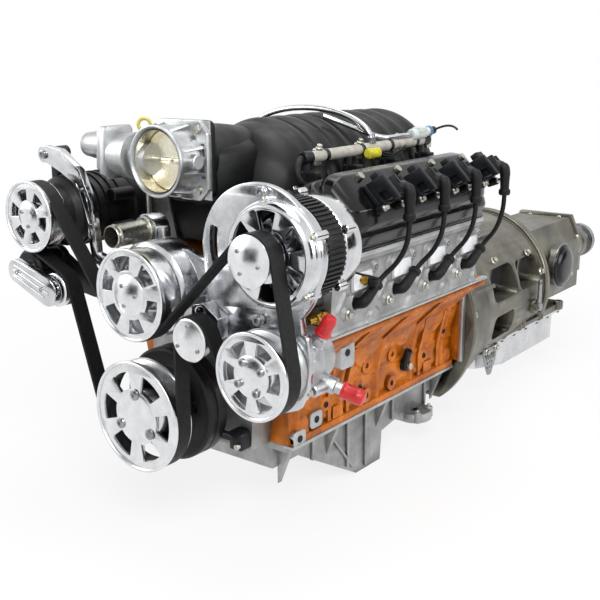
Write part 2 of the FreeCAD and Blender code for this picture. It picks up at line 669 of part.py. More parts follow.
def ignition_coils(side):
    """Each coil: a potted block, its C-shaped iron frame in front, a back plate, a socket and the outlet."""
    coils = []
    v = COIL_BASE_V
    foot = [(-72, v), (-36, v), (-36, v + 7), (-72, v + 7)]
    block = [(-68, v + 7), (-38, v + 7), (-30, v + 34), (-60, v + 34)]
    iron = [(-74, v + 5), (-30, v + 5), (-28, v + 14), (-50, v + 14), (-46, v + 29), (-26, v + 29), (-23, v + 39),
            (-66, v + 39)]
    back = [(-72, v + 6), (-36, v + 6), (-27, v + 37), (-64, v + 37)]
    socket = [(-66, v + 10), (-62, v + 26), (-82, v + 26), (-84, v + 12)]
    for y in coil_places(side):
        pieces = [bank_prism(side, foot, y - 30, y + 30), bank_prism(side, block, y - 20, y + 26),
                  bank_prism(side, iron, y - 27, y - 19), bank_prism(side, back, y + 4, y + 10),
                  bank_prism(side, socket, y - 14, y + 8)]
        pieces.append(Part.makeCylinder(10, 34, bank_point(side, -40, v + 18, y + 16), coil_outlet(side)))
        coils.append(join(pieces))
    return coils


def coil_outlet(side):
    return vec(side * 0.92, 0, -0.39).normalize()


def tower_end(side, y):
    return ahead(bank_point(side, -40, COIL_BASE_V + 18, y + 16), coil_outlet(side), 34)


def rounded_path(points):
    """Straight runs joined by tangent arcs through a list of corner points."""
    edges = []
    start = points[0]
    for i in range(1, len(points) - 1):
        before = points[i].sub(points[i - 1])
        after = points[i + 1].sub(points[i])
        turn = before.getAngle(after)
        reach = 0.45 * min(before.Length, after.Length)
        a = points[i].sub(vec(*before).normalize().multiply(reach))
        c = points[i].add(vec(*after).normalize().multiply(reach))
        radius = reach / math.tan(turn / 2)
        to_centre = vec(*after).normalize().sub(vec(*before).normalize()).normalize()
        centre = points[i].add(to_centre.multiply(math.hypot(radius, reach)))
        b = centre.add(points[i].sub(centre).normalize().multiply(radius))
        edges.append(Part.LineSegment(start, a).toShape())
        edges.append(Part.Arc(a, b, c).toShape())
        start = c
    edges.append(Part.LineSegment(start, points[-1]).toShape())
    return Part.Wire(edges)


def tube_along(points, radius):
    path = rounded_path(points)
    heading = points[1].sub(points[0])
    ring = Part.Wire(Part.makeCircle(radius, points[0], heading))
    return path.makePipeShell([ring], True, False)


def plug_mouth(side, y):
    return vec(side * (outer_face_x(PLUG_Z) + 2), y, PLUG_Z)


def plug_out(side):
    """Direction in which a spark plug points away from its head."""
    return vec(side, 0, 0.35).normalize()


def boot_up(side):
    """Direction of a plug boot's upper leg."""
    return vec(side * 0.1, 0.5, 0.86).normalize()


def coil_boot_down(side):
    return vec(side * 0.25, 0, -0.97).normalize()


def ahead(point, direction, distance):
    return point.add(vec(*direction).multiply(distance))


BOOT_REACH = 26.0
BOOT_LEG = 30.0
COIL_BOOT_LEG = 36.0


def plug_boots(side):
    """An elbow boot on each plug and another on each coil tower."""
    boots = []
    for plug_y, coil_y in zip(bore_places(side), coil_places(side)):
        mouth = plug_mouth(side, plug_y)
        out = plug_out(side)
        corner = ahead(mouth, out, BOOT_REACH)
        low = Part.makeCylinder(BOOT_R, BOOT_DEPTH + BOOT_REACH, ahead(mouth, out, -BOOT_DEPTH), out)
        high = Part.makeCylinder(BOOT_R - 1, BOOT_LEG, corner, boot_up(side))
        boots.append(join([low, high, Part.makeSphere(BOOT_R, corner)]))
        start = ahead(tower_end(side, coil_y), coil_outlet(side), SEAT)
        knee = ahead(start, coil_outlet(side), 10)
        collar = Part.makeCylinder(12, 10, start, coil_outlet(side))
        leg = Part.makeCylinder(10, COIL_BOOT_LEG, knee, coil_boot_down(side))
        boots.append(join([collar, leg, Part.makeSphere(9.6, knee)]))
    return boots


def plug_wires(side):
    """Each wire runs from its coil's boot down, then across to the plug's boot."""
    wires = []
    for plug_y, coil_y in zip(bore_places(side), coil_places(side)):
        low = ahead(plug_mouth(side, plug_y), plug_out(side), BOOT_REACH)
        low = ahead(low, boot_up(side), BOOT_LEG + SEAT)
        high = ahead(tower_end(side, coil_y), coil_outlet(side), SEAT + 10)
        high = ahead(high, coil_boot_down(side), COIL_BOOT_LEG + SEAT)
        bend = ahead(low, boot_up(side), 18)
        drop = ahead(high, coil_boot_down(side), 34)
        wires.append(tube_along([low, bend, drop, high], WIRE_R))
    return wires


def spark_plugs(side):
    made = []
    for y in bore_places(side):
        foot = ahead(plug_mouth(side, y), plug_out(side), -PLUG_DEPTH + SEAT)
        made.append(Part.makeCylinder(8, PLUG_DEPTH - BOOT_DEPTH - 2 * SEAT, foot, plug_out(side)))
    return made


# Intake manifold and throttle
def intake_profile():
    """Half of the manifold's long section as (radius, y): a domed front and a scallop for each runner."""
    edges = []
    pitch = (INTAKE_REAR_Y - DOME_END_Y) / RUNNERS
    z = ARCH_Z
    front = vec(0, INTAKE_FRONT_Y, z)
    dome_end = vec(ARCH_R, DOME_END_Y, z)
    depth = DOME_END_Y - INTAKE_FRONT_Y
    dome_mid = vec(ARCH_R / ROOT2 * 1.02, INTAKE_FRONT_Y + depth * (1 - 1 / ROOT2), z)
    edges.append(Part.Arc(front, dome_mid, dome_end).toShape())
    start = dome_end
    for i in range(RUNNERS):
        y1 = DOME_END_Y + (i + 1) * pitch
        end = vec(ARCH_R - 1.5 * max(0, i - 5), y1, z)
        top = vec((start.x + end.x) / 2 + RUNNER_BULGE, y1 - pitch / 2, z)
        edges.append(Part.Arc(start, top, end).toShape())
        start = end
    back = vec(0, INTAKE_REAR_Y, z)
    edges.append(Part.LineSegment(start, back).toShape())
    edges.append(Part.LineSegment(back, front).toShape())
    return Part.Face(Part.Wire(edges))


def intake_face_x(z):
    """Where the manifold seats against the head's inner face at a height."""
    low = bank_point(1, -DECK_HALF, DECK_HEIGHT + GASKET, 0)
    high = bank_point(1, -130, RAIL_V, 0)
    return low.x + (high.x - low.x) * (z - low.z) / (high.z - low.z) - SEAT


def intake_manifold():
    arch = intake_profile().revolve(vec(0, 0, ARCH_Z), FRONTWARD, 180)
    foot, shoulder = intake_face_x(INTAKE_BASE_Z), intake_face_x(INTAKE_SHOULDER_Z)
    lower = prism_y([(-foot, INTAKE_BASE_Z), (foot, INTAKE_BASE_Z), (shoulder, INTAKE_SHOULDER_Z),
                     (-shoulder, INTAKE_SHOULDER_Z)], 40, 458)
    core = rod_y(0, ARCH_Z, ARCH_R - 14, 96, 480)
    core = core.common(block_box(-200, 200, 0, 600, ARCH_Z - 30, 500))
    belly = block_box(-84, 84, 96, 462, INTAKE_BASE_Z + 10, ARCH_Z)
    neck = rod_y(0, THROTTLE_Z, THROTTLE_BORE_R + 8, THROTTLE_FLANGE_Y + SEAT, 96)
    ears = block_box(-THROTTLE_FLANGE_HALF, THROTTLE_FLANGE_HALF, THROTTLE_FLANGE_Y + SEAT, THROTTLE_FLANGE_Y + 11,
                     THROTTLE_Z - THROTTLE_FLANGE_HALF, THROTTLE_Z + THROTTLE_FLANGE_HALF)
    bore = rod_y(0, THROTTLE_Z, THROTTLE_BORE_R, THROTTLE_FLANGE_Y - 2, 120)
    outside = join([arch, lower, neck, ears])
    return outside.cut(Part.makeCompound([core, belly, bore]))


def throttle_body():
    """The cast body: a belled inlet, the bore, a square flange and the motor's gear case."""
    tube = rod_y(0, THROTTLE_Z, THROTTLE_BORE_R + THROTTLE_WALL, THROTTLE_FRONT_Y, THROTTLE_FLANGE_Y)
    lip = turned(0, THROTTLE_Z, [(40, THROTTLE_FRONT_Y), (THROTTLE_BORE_R + 8, THROTTLE_FRONT_Y),
                                 (THROTTLE_BORE_R + 8, THROTTLE_FRONT_Y + 5), (THROTTLE_BORE_R, THROTTLE_FRONT_Y + 9),
                                 (40, THROTTLE_FRONT_Y + 9)])
    half = THROTTLE_FLANGE_HALF
    flange = block_box(-half, half, THROTTLE_FLANGE_Y - 11, THROTTLE_FLANGE_Y, THROTTLE_Z - half, THROTTLE_Z + half)
    flange = round_edges(flange, 12, lambda e: runs_along(e, REARWARD))
    housing = Part.makeCone(GEAR_HOUSING_R - 5, GEAR_HOUSING_R, -half - 6 - MOTOR_FLANGE_X,
                            vec(MOTOR_FLANGE_X, THROTTLE_SHAFT_Y, THROTTLE_Z + 2), ACROSS)
    neck = rod_x((THROTTLE_FRONT_Y + THROTTLE_FLANGE_Y) / 2 + 2, THROTTLE_Z, GEAR_NECK_R, -half - 8, -30)
    ahead, behind = THROTTLE_SHAFT_Y - 32, THROTTLE_SHAFT_Y + 28
    face = [(ahead, MOTOR_Z - 40), (ahead, MOTOR_Z + 26), (ahead + 8, MOTOR_Z + 32), (behind - 4, MOTOR_Z + 32),
            (behind, MOTOR_Z + 26), (behind, MOTOR_Z - 40), (behind - 6, MOTOR_Z - 48), (ahead + 8, MOTOR_Z - 48)]
    smaller = [(y * 0.9 - 9, z * 0.9 + MOTOR_Z * 0.1 - 1) for y, z in face]
    gear_case = join([housing, neck, prism_x(face, MOTOR_FLANGE_X - 14, MOTOR_FLANGE_X),
                      prism_x(smaller, MOTOR_FLANGE_X - 26, MOTOR_FLANGE_X - 14)])
    gussets = []
    for angle in (-62, -118, 62):
        gusset = block_box(THROTTLE_BORE_R + 2, THROTTLE_BORE_R + 12, THROTTLE_SHAFT_Y - 10, THROTTLE_FLANGE_Y - 10,
                           -2.5, 2.5)
        gusset.rotate(vec(0, 0, 0), FRONTWARD, angle)
        gusset.translate(vec(0, 0, THROTTLE_Z))
        gussets.append(gusset)
    boss = rod_x(THROTTLE_SHAFT_Y, THROTTLE_Z, 11, 30, THROTTLE_BORE_R + 16)
    body = join([tube, lip, flange, gear_case, boss] + gussets)
    cuts = [rod_y(0, THROTTLE_Z, THROTTLE_BORE_R, THROTTLE_FRONT_Y - 1, THROTTLE_FLANGE_Y + 1)]
    cuts.append(rod_x(THROTTLE_SHAFT_Y, THROTTLE_Z, THROTTLE_SHAFT_R + RUNNING_GAP, -70, 56))
    for sx in (-1, 1):
        for sz in (-1, 1):
            cuts.append(rod_y(sx * (half - 12), THROTTLE_Z + sz * (half - 12), 3.4, THROTTLE_FLANGE_Y - 12,
                              THROTTLE_FLANGE_Y + 1))
    return body.cut(Part.makeCompound(cuts))


def throttle_motor():
    rear = MOTOR_FLANGE_X - 26 - SEAT
    can = rod_x(THROTTLE_SHAFT_Y, MOTOR_Z, MOTOR_R, rear - 32, rear)
    end = rod_x(THROTTLE_SHAFT_Y, MOTOR_Z, MOTOR_R - 2, rear - 46, rear - 32)
    return join([can, end])


def throttle_plate():
    shaft = rod_x(THROTTLE_SHAFT_Y, THROTTLE_Z, THROTTLE_SHAFT_R, -68, 54)
    disc = rod_y(0, THROTTLE_Z, THROTTLE_BORE_R - BODY_GAP, THROTTLE_SHAFT_Y - 1.2, THROTTLE_SHAFT_Y + 1.2)
    return join([shaft, disc])


def fuel_rails():
    made = []
    for side in (1, -1):
        y0 = 66 + bank_start(side)
        made.append(rod_y(side * FUEL_RAIL_X, FUEL_RAIL_Z, FUEL_RAIL_R, y0, y0 + 366))
    return made


def fuel_crossover():
    """The pipe that arches over the manifold between the two rails' banjo fittings."""
    y = 252.0
    foot = FUEL_RAIL_Z + FUEL_RAIL_R + SEAT
    ends = [vec(side * FUEL_RAIL_X, y, foot + 8) for side in (1, -1)]
    top = vec(0, y, ARCH_Z + ARCH_R + RUNNER_BULGE + 7)
    path = Part.Wire([Part.Arc(ends[0], top, ends[1]).toShape()])
    heading = path.Edges[0].tangentAt(path.Edges[0].FirstParameter)
    pipe = path.makePipeShell([Part.Wire(Part.makeCircle(5, ends[0], heading))], True, False)
    banjos = [rod_z(e.x, y, 8, foot, foot + 15) for e in ends]
    return join([pipe] + banjos)


def fuel_injectors():
    made = []
    for side in (1, -1):
        for y in bore_places(side):
            x = side * FUEL_RAIL_X
            top = FUEL_RAIL_Z - FUEL_RAIL_R - SEAT
            made.append(join([rod_z(x, y, 6.5, INTAKE_SHOULDER_Z + SEAT, top), rod_z(x, y, 9, 334, 350)]))
    return made


# Accessory drive
def window(x, z, inner, outer, centre_deg, half_deg, y0, y1):
    """A sector-shaped opening between two radii."""
    a0, a1 = centre_deg - half_deg, centre_deg + half_deg
    p = [polar(x, z, outer, a0), polar(x, z, outer, centre_deg), polar(x, z, outer, a1),
         polar(x, z, inner, a1), polar(x, z, inner, centre_deg), polar(x, z, inner, a0)]
    q = [vec(px, y0, pz) for px, pz in p]
    edges = [Part.Arc(q[0], q[1], q[2]).toShape(), Part.LineSegment(q[2], q[3]).toShape(),
             Part.Arc(q[3], q[4], q[5]).toShape(), Part.LineSegment(q[5], q[0]).toShape()]
    face = Part.Face(Part.Wire(edges))
    return face.extrude(vec(0, y1 - y0, 0))


def windows(x, z, inner, outer, count, half_deg, first=90.0):
    return [window(x, z, inner, outer, first + i * 360.0 / count, half_deg, DISC_FRONT_Y - 8,
                   DISC_FRONT_Y + DISC_THICK + 1) for i in range(count)]


def pulley(x, z, disc_r, groove_r, hub_r, back_y, shaft_r, nose_r):
    """A machined pulley: face disc, ribbed rim, hub to its back face and a low conical nose."""
    face = DISC_FRONT_Y
    rim_y = BELT_REAR_Y + 2
    inner = groove_r - 7
    outline = [(shaft_r, back_y), (hub_r, back_y), (hub_r, face + DISC_THICK), (inner, face + DISC_THICK),
               (inner, rim_y)]
    outline += [(groove_r + 3, rim_y), (groove_r + 3, rim_y - 1.5), (groove_r, rim_y - 2)]
    outline += [(groove_r, BELT_FRONT_Y), (disc_r, BELT_FRONT_Y), (disc_r, face + 1), (disc_r - 1, face),
                (nose_r, face), (nose_r * 0.75, face - 3), (shaft_r, face - 5)]
    return turned(x, z, outline)


def crank_pulley():
    body = pulley(0, 0, CRANK_DISC_R, CRANK_GROOVE_R, 36, -134.3, 12, 10)
    body = body.cut(Part.makeCompound(windows(0, 0, 46, 70, 6, 19, 60)))
    bolts = [rod_y(*polar(0, 0, 34, a), 5, DISC_FRONT_Y - 6, DISC_FRONT_Y + 1) for a in (75, 195, 315)]
    return join([body] + bolts)


def harmonic_damper():
    outline = [(SNOUT_R, -134), (34, -134), (34, -106), (62, -96), (62, -112), (DAMPER_R, -112), (DAMPER_R, -72),
               (60, -72), (60, -84), (30, -92), (30, -58.5), (SNOUT_R, -58.5)]
    return turned(0, 0, outline)


def water_pump_pulley():
    """Smooth drum for the belt's back, with the pump's shaft."""
    face = DISC_FRONT_Y
    r = PUMP_DRUM_R
    outline = [(0, -60), (9, -60), (9, -146), (28, -146), (28, face + DISC_THICK), (r - 6, face + DISC_THICK),
               (r - 6, -140.5), (r, -140.5), (r, BELT_FRONT_Y), (PUMP_DISC_R, BELT_FRONT_Y),
               (PUMP_DISC_R, face + 1), (PUMP_DISC_R - 1, face), (32, face), (26, face - 4), (0, face - 8)]
    body = turned(PUMP_X, PUMP_Z, outline)
    return body.cut(Part.makeCompound(windows(PUMP_X, PUMP_Z, 38, 56, 6, 18, 90)))


def water_pump_housing():
    """Polished drum behind the pulley, its ears and the two legs that bolt to the block's front."""
    x, z = PUMP_X, PUMP_Z
    drum = turned(x, z, [(0, -86), (72, -86), (72, -134), (66, -139), (30, -139), (30, -128), (0, -128)])
    ear_y = (BRACKET_REAR_Y + SEAT, -92)
    ear = prism_y([(x, z - 30), (96, z + 2), (112, z + 22), (96, z + 44), (50, z + 62), (x, z + 60)], *ear_y)
    ear_left = prism_y([(x, z - 30), (x, z + 60), (-46, z + 60), (-86, z + 42), (-106, z + 20), (-104, z),
                        (-112, z - 16), (-92, z - 30)], *ear_y)
    back = block_box(-94, 94, -93, COVER_FRONT_Y - SEAT, z - 46, z + 30)
    legs = []
    for side in (1, -1):
        low, high = sorted((side * 98, side * 128))
        legs.append(block_box(low, high, -88, -SEAT, z - 34, z + 8))
        low, high = sorted((side * 60, side * 128))
        legs.append(block_box(low, high, -88, COVER_FRONT_Y - SEAT, z - 34, z + 8))
    inward = vec(*HOSE_AXIS).normalize().multiply(-1)
    seat = ahead(HOSE_MOUTH, inward, HOSE_LENGTH + SEAT)
    thermostat = Part.makeCylinder(25, 30, seat, inward)
    riser = block_box(-84, -44, -62, COVER_FRONT_Y - SEAT, z + 10, z + 78)
    body = join([drum, ear, ear_left, back, thermostat, riser] + legs)
    room = rod_y(x, z, 9 + RUNNING_GAP, -150, -56)
    cavity = rod_y(x, z, 40, -84, -58)
    water_way = Part.makeCylinder(HOSE_R - HOSE_WALL, 26, ahead(seat, inward, -1), inward)
    return body.cut(Part.makeCompound([room, cavity, water_way]))


HOSE_R = 17.5
HOSE_WALL = 2.0
HOSE_MOUTH = FreeCAD.Vector(-81, -136, 259)
HOSE_LENGTH = 70.0
HOSE_AXIS = FRONTWARD


def hose_nipple():
    axis = vec(*HOSE_AXIS).normalize()
    base = HOSE_MOUTH.sub(vec(*axis).multiply(HOSE_LENGTH))
    outer = Part.makeCylinder(HOSE_R, HOSE_LENGTH, base, axis)
    collar = Part.makeCylinder(HOSE_R + 4, 6, base, axis)
    inner = Part.makeCylinder(HOSE_R - HOSE_WALL, HOSE_LENGTH + 2, vec(*base).add(vec(*axis).multiply(5)), axis)
    return join([outer, collar]).cut(inner)


def alternator_case():
    """Two cast halves with vent windows, open inside for the rotor."""
    x, z = ALT_X, ALT_Z
    r = ALT_BODY_R
    front = turned(x, z, [(12, -138), (24, -141), (60, -141), (r - 6, -136), (r, -130), (r, -101), (r - 8, -101),
                          (r - 8, -128), (14, -130), (12, -130)])
    vents = [window(x, z, 34, 58, 30 + 60 * i, 14, -150, -120) for i in range(6)]
    rear = turned(x, z, [(0, -10), (r - 16, -10), (r - 4, -20), (r - 2, -59), (r - 9, -59), (r - 12, -22), (12, -20),
                         (12, -30), (0, -30)])
    slots = [window(x, z, 30, 52, 15 + 30 * i, 7, -40, 0) for i in range(12)]
    return [front.cut(Part.makeCompound(vents)), rear.cut(Part.makeCompound(slots))]


def alternator_stator():
    return ring_y(ALT_X, ALT_Z, ALT_BODY_R - 3, 56, -100.7, -59.3)


def alternator_pulley():
    body = pulley(ALT_X, ALT_Z, ALT_DISC_R, ALT_GROOVE_R, 16, -142.5, 8, 30)
    return join([body.cut(rod_y(ALT_X, ALT_Z, 8.5, -160, -140)), rod_y(ALT_X, ALT_Z, 9, -176, -150)])


def alternator_rotor():
    """Shaft, fan and claw rotor."""
    x, z = ALT_X, ALT_Z
    shaft = rod_y(x, z, 8, -150, -31)
    core = rod_y(x, z, 52, -102, -58)
    fan = rod_y(x, z, 50, -108, -105)
    blades = [window(x, z, 26, 50, 30 * i, 3, -118, -106) for i in range(12)]
    return join([shaft, core, fan, rod_y(x, z, 20, -118, -100)] + blades)


BRACKET_BOLTS = [(106, 171), (199, 172)]
BRACKET_TOP_BOLT = (209, 350)


def ring_bracket():
    """The plate round the alternator, with its curved slot, and the web down to the pump's ear."""
    y0, y1 = BRACKET_FRONT_Y, BRACKET_REAR_Y
    ring = rod_y(195, 257, 104, y0, y1)
    web = prism_y([(92, 262), (84, 180), (96, 150), (104, 112), (132, 72), (176, 48), (232, 40), (272, 60),
                   (292, 104), (299, 170), (300, 268)], y0, y1)
    bosses = [rod_y(bx, bz, 14, y0, y1) for bx, bz in BRACKET_BOLTS + [BRACKET_TOP_BOLT]]
    plate = join([ring, web] + bosses)
    slot = window(ALT_X, ALT_Z, 112, 124, 182, 15, y0 - 1, y1 + 1)
    holes = [rod_y(ALT_X, ALT_Z, ALT_BODY_R + SEAT, y0 - 1, y1 + 1), slot]
    holes.append(rod_y(STEER_X, STEER_Z, STEER_DRUM_R + FREE_GAP, y0 - 1, y1 + 1))
    holes += [rod_y(bx, bz, 5, y0 - 1, y1 + 1) for bx, bz in BRACKET_BOLTS + [BRACKET_TOP_BOLT]]
    return plate.cut(Part.makeCompound(holes))


def bracket_posts():
    """Round spacers behind the plate, one on the pump's leg and one on the head, and their bolts in front."""
    posts = []
    y0, y1 = BRACKET_FRONT_Y, BRACKET_REAR_Y
    for (bx, bz), rear in zip(BRACKET_BOLTS, (-88 - SEAT, HEAD_FRONT_Y - SEAT)):
        posts.append(rod_y(bx, bz, 11, y1 + SEAT, rear))
    for bx, bz in BRACKET_BOLTS + [BRACKET_TOP_BOLT]:
        head = join([rod_y(bx, bz, 8, y0 - 8, y0 - SEAT), rod_y(bx, bz, 4.6, y0 - 1, y1)])
        posts.append(head.cut(rod_y(bx, bz, 4, y0 - 9, y0 - 4)))
    return posts


def steering_pulley():
    body = pulley(STEER_X, STEER_Z, STEER_DISC_R, STEER_GROOVE_R, 24, -142.5, 8, 14)
    body = body.cut(Part.makeCompound(windows(STEER_X, STEER_Z, 32, 48, 6, 17, 30)))
    shaft = rod_y(STEER_X, STEER_Z, 9, -182, -120)
    bolts = [rod_y(*polar(STEER_X, STEER_Z, 21, a), 4.5, DISC_FRONT_Y - 5, DISC_FRONT_Y + 1) for a in
             (45, 135, 225, 315)]
    return join([body, shaft] + bolts)


def steering_pump():
    x, z = STEER_X, STEER_Z
    drum = turned(x, z, [(9 + RUNNING_GAP, -138), (44, -138), (STEER_DRUM_R, -132), (STEER_DRUM_R, -84), (40, -70),
                         (40, -40), (0, -40),
                         (0, -119), (9 + RUNNING_GAP, -119)])
    plate = prism_y([(x - 64, z - 20), (x - 20, z - 58), (x + 34, z - 50), (x + 50, z + 10), (x + 20, z + 56),
                     (x - 40, z + 42)], BRACKET_REAR_Y + SEAT, -96)
    outlet = Part.makeCylinder(11, 34, vec(x + 34, -86, z + 20), vec(0.5, 0, 0.86))
    elbow = Part.makeCylinder(12, 40, vec(x + 26, -62, z - 30), vec(0.92, 0.25, -0.3))
    mount = block_box(x - 78, x - 42, BRACKET_REAR_Y + SEAT, -SEAT, z - 30, z + 20)
    return join([drum, plate, outlet, elbow, mount])


def steering_caps():
    """The two soft plugs on the pump's fittings."""
    x, z = STEER_X, STEER_Z
    made = []
    a = vec(0.5, 0, 0.86).normalize()
    start = vec(x + 34, -86, z + 20).add(vec(*a).multiply(34.3))
    made.append(Part.makeCylinder(13, 28, start, a))
    b = vec(0.92, 0.25, -0.3).normalize()
    start = vec(x + 26, -62, z - 30).add(vec(*b).multiply(40.3))
    made.append(Part.makeCylinder(14, 32, start, b))
    return made


def cooling_pulley():
    body = pulley(COOL_X, COOL_Z, COOL_DISC_R, COOL_GROOVE_R, 20, -142.5, 8, 18)
    body = body.cut(Part.makeCompound(windows(COOL_X, COOL_Z, 26, 41, 6, 17, 60)))
    return join([body, rod_y(COOL_X, COOL_Z, 9, -182, -118)])


def compressor():
    """The air-conditioning compressor behind its pulley: drum, rear head and mounting lugs."""
    x, z = COOL_X, COOL_Z
    drum = turned(x, z, [(9 + RUNNING_GAP, -138), (46, -138), (46, -124), (56, -118), (56, -2), (60, 0), (60, 24),
                         (50, 30), (0, 30), (0, -117), (9 + RUNNING_GAP, -117)])
    lugs = [rod_y(x + dx, z + dz, 11, -60, -16) for dx, dz in ((58, 24), (58, -30))]
    lugs.append(rod_y(ARM_TIP[0], ARM_TIP[1], 11, BRACKET_REAR_Y + SEAT, -70))
    lugs.append(block_box(ARM_TIP[0] - 9, ARM_TIP[0] + 9, -98, -74, z + 40, ARM_TIP[1]))
    ribs = [ring_y(x, z, 59, 50, y, y + 6) for y in (-96, -66, -36)]
    return join([drum] + lugs + ribs)


ARM_TIP = (-254, 372)


def cooling_bracket():
    """The polished curved arm over the compressor, down to a foot on the pump housing's ear."""
    y0, y1 = BRACKET_FRONT_Y, BRACKET_REAR_Y
    outer = [(-250, 386), (-212, 382), (-168, 352), (-144, 302), (-139, 262), (-137, 224), (-88, 212)]
    inner = [(-98, 193), (-150, 208), (-158, 262), (-166, 302), (-186, 332), (-214, 346), (-250, 360)]
    plate = prism_y(outer + inner, y0, y1)
    slot = prism_y([(-170, 318), (-160, 318), (-146, 268), (-152, 268)], y0 - 1, y1 + 1)
    tip = rod_y(ARM_TIP[0], ARM_TIP[1], 13.5, y0, y1)
    return join([plate, tip]).cut(slot).cut(rod_y(ARM_TIP[0], ARM_TIP[1], 5, y0 - 1, y1 + 1))


def idler_pulley():
    cap = [(0, -182), (IDLER_R - 3, DISC_FRONT_Y), (IDLER_R + 2, DISC_FRONT_Y + 1), (IDLER_R + 2, BELT_FRONT_Y),
           (IDLER_R, BELT_FRONT_Y), (IDLER_R, BELT_REAR_Y + 1), (12, BELT_REAR_Y + 1), (12, -158), (0, -158)]
    return turned(IDLER_X, IDLER_Z, cap)


def idler_post():
    """Stub axle and the arm that carries it from the plate's lower bolt."""
    x, z = IDLER_X, IDLER_Z
    axle = rod_y(x, z, 12 - RUNNING_GAP, -157.5, -140)
    arm = prism_y([(x - 16, z - 12), (x + 4, z - 20), (x + 20, z - 4), (x + 22, z + 26), (x - 6, z + 44),
                   (x - 28, z + 40), (x - 30, z + 20)], -141, BRACKET_FRONT_Y - SEAT)
    return join([axle, arm]).cut(rod_y(106, 171, 9, -142, -110))


def tensioner_arm():
    """The grooved oval arm in front, turning on the pivot behind its outer end."""
    ax, az, bx, bz = TENSION_PIVOT_X, TENSION_PIVOT_Z, TENSION_X, TENSION_Z
    length = math.hypot(bx - ax, bz - az)
    nx, nz = -(bz - az) / length, (bx - ax) / length
    r0, r1 = 19.0, 23.0
    web = prism_y([(ax + nx * r0, az + nz * r0), (ax - nx * r0, az - nz * r0), (bx - nx * r1, bz - nz * r1),
                   (bx + nx * r1, bz + nz * r1)], -196, -182)
    body = join([web, rod_y(ax, az, r0, -196, -182), rod_y(bx, bz, r1, -196, -182)])
    pivot = rod_y(ax, az, 12, -183, -109)
    axle = rod_y(bx, bz, 8, -183, -146)
    return join([body, pivot, axle])


def tensioner_roller():
    return ring_y(TENSION_X, TENSION_Z, TENSION_R, 8 + RUNNING_GAP, BELT_FRONT_Y - 3, BELT_REAR_Y + 1)


def tensioner_base():
    """The spring drum that the arm turns in, and the foot plate that it is bolted in."""
    drum = ring_y(TENSION_PIVOT_X, TENSION_PIVOT_Z, 30, 12 + RUNNING_GAP, -172, BRACKET_FRONT_Y)
    back = rod_y(TENSION_PIVOT_X, TENSION_PIVOT_Z, 30, BRACKET_FRONT_Y, BRACKET_REAR_Y)
    back = back.cut(rod_y(TENSION_PIVOT_X, TENSION_PIVOT_Z, 12 + RUNNING_GAP, BRACKET_FRONT_Y - 1, -108))
    foot = prism_y([(-250, 186), (-236, 160), (-150, 150), (-100, 168), (-100, 188), (-160, 180), (-220, 214)],
                   BRACKET_FRONT_Y, BRACKET_REAR_Y)
    foot = foot.cut(rod_y(TENSION_PIVOT_X, TENSION_PIVOT_Z, 30 + SEAT, BRACKET_FRONT_Y - 1, BRACKET_REAR_Y + 1))
    return [join([drum, back]), foot]


def serpentine_belt():
    grow = 0.4 + BELT_THICK / 2
    stops = [(0, 0, CRANK_GROOVE_R + grow, 1), (IDLER_X, IDLER_Z, IDLER_R + grow, -1),
             (STEER_X, STEER_Z, STEER_GROOVE_R + grow, 1), (ALT_X, ALT_Z, ALT_GROOVE_R + grow, 1),
             (PUMP_X, PUMP_Z, PUMP_DRUM_R + grow, -1), (COOL_X, COOL_Z, COOL_GROOVE_R + grow, 1),
             (TENSION_X, TENSION_Z, TENSION_R + grow, -1)]
    return loop_band(stops, BELT_THICK, BELT_FRONT_Y + 0.6, BELT_REAR_Y - 0.6)


# Transmission
def case_pockets():
    """The two scooped pockets on each side of the case, clear of its gear room."""
    made = []
    for side in (1, -1):
        for y0, y1, z0, z1 in POCKETS:
            low, high = sorted((side * (GEAR_ROOM_R + 32), side * 220))
            pocket = block_box(low, high, BLOCK_LENGTH + y0, BLOCK_LENGTH + y1, z0, z1)
            made.append(round_edges(pocket, 16, lambda e: runs_along(e, ACROSS)))
    return made


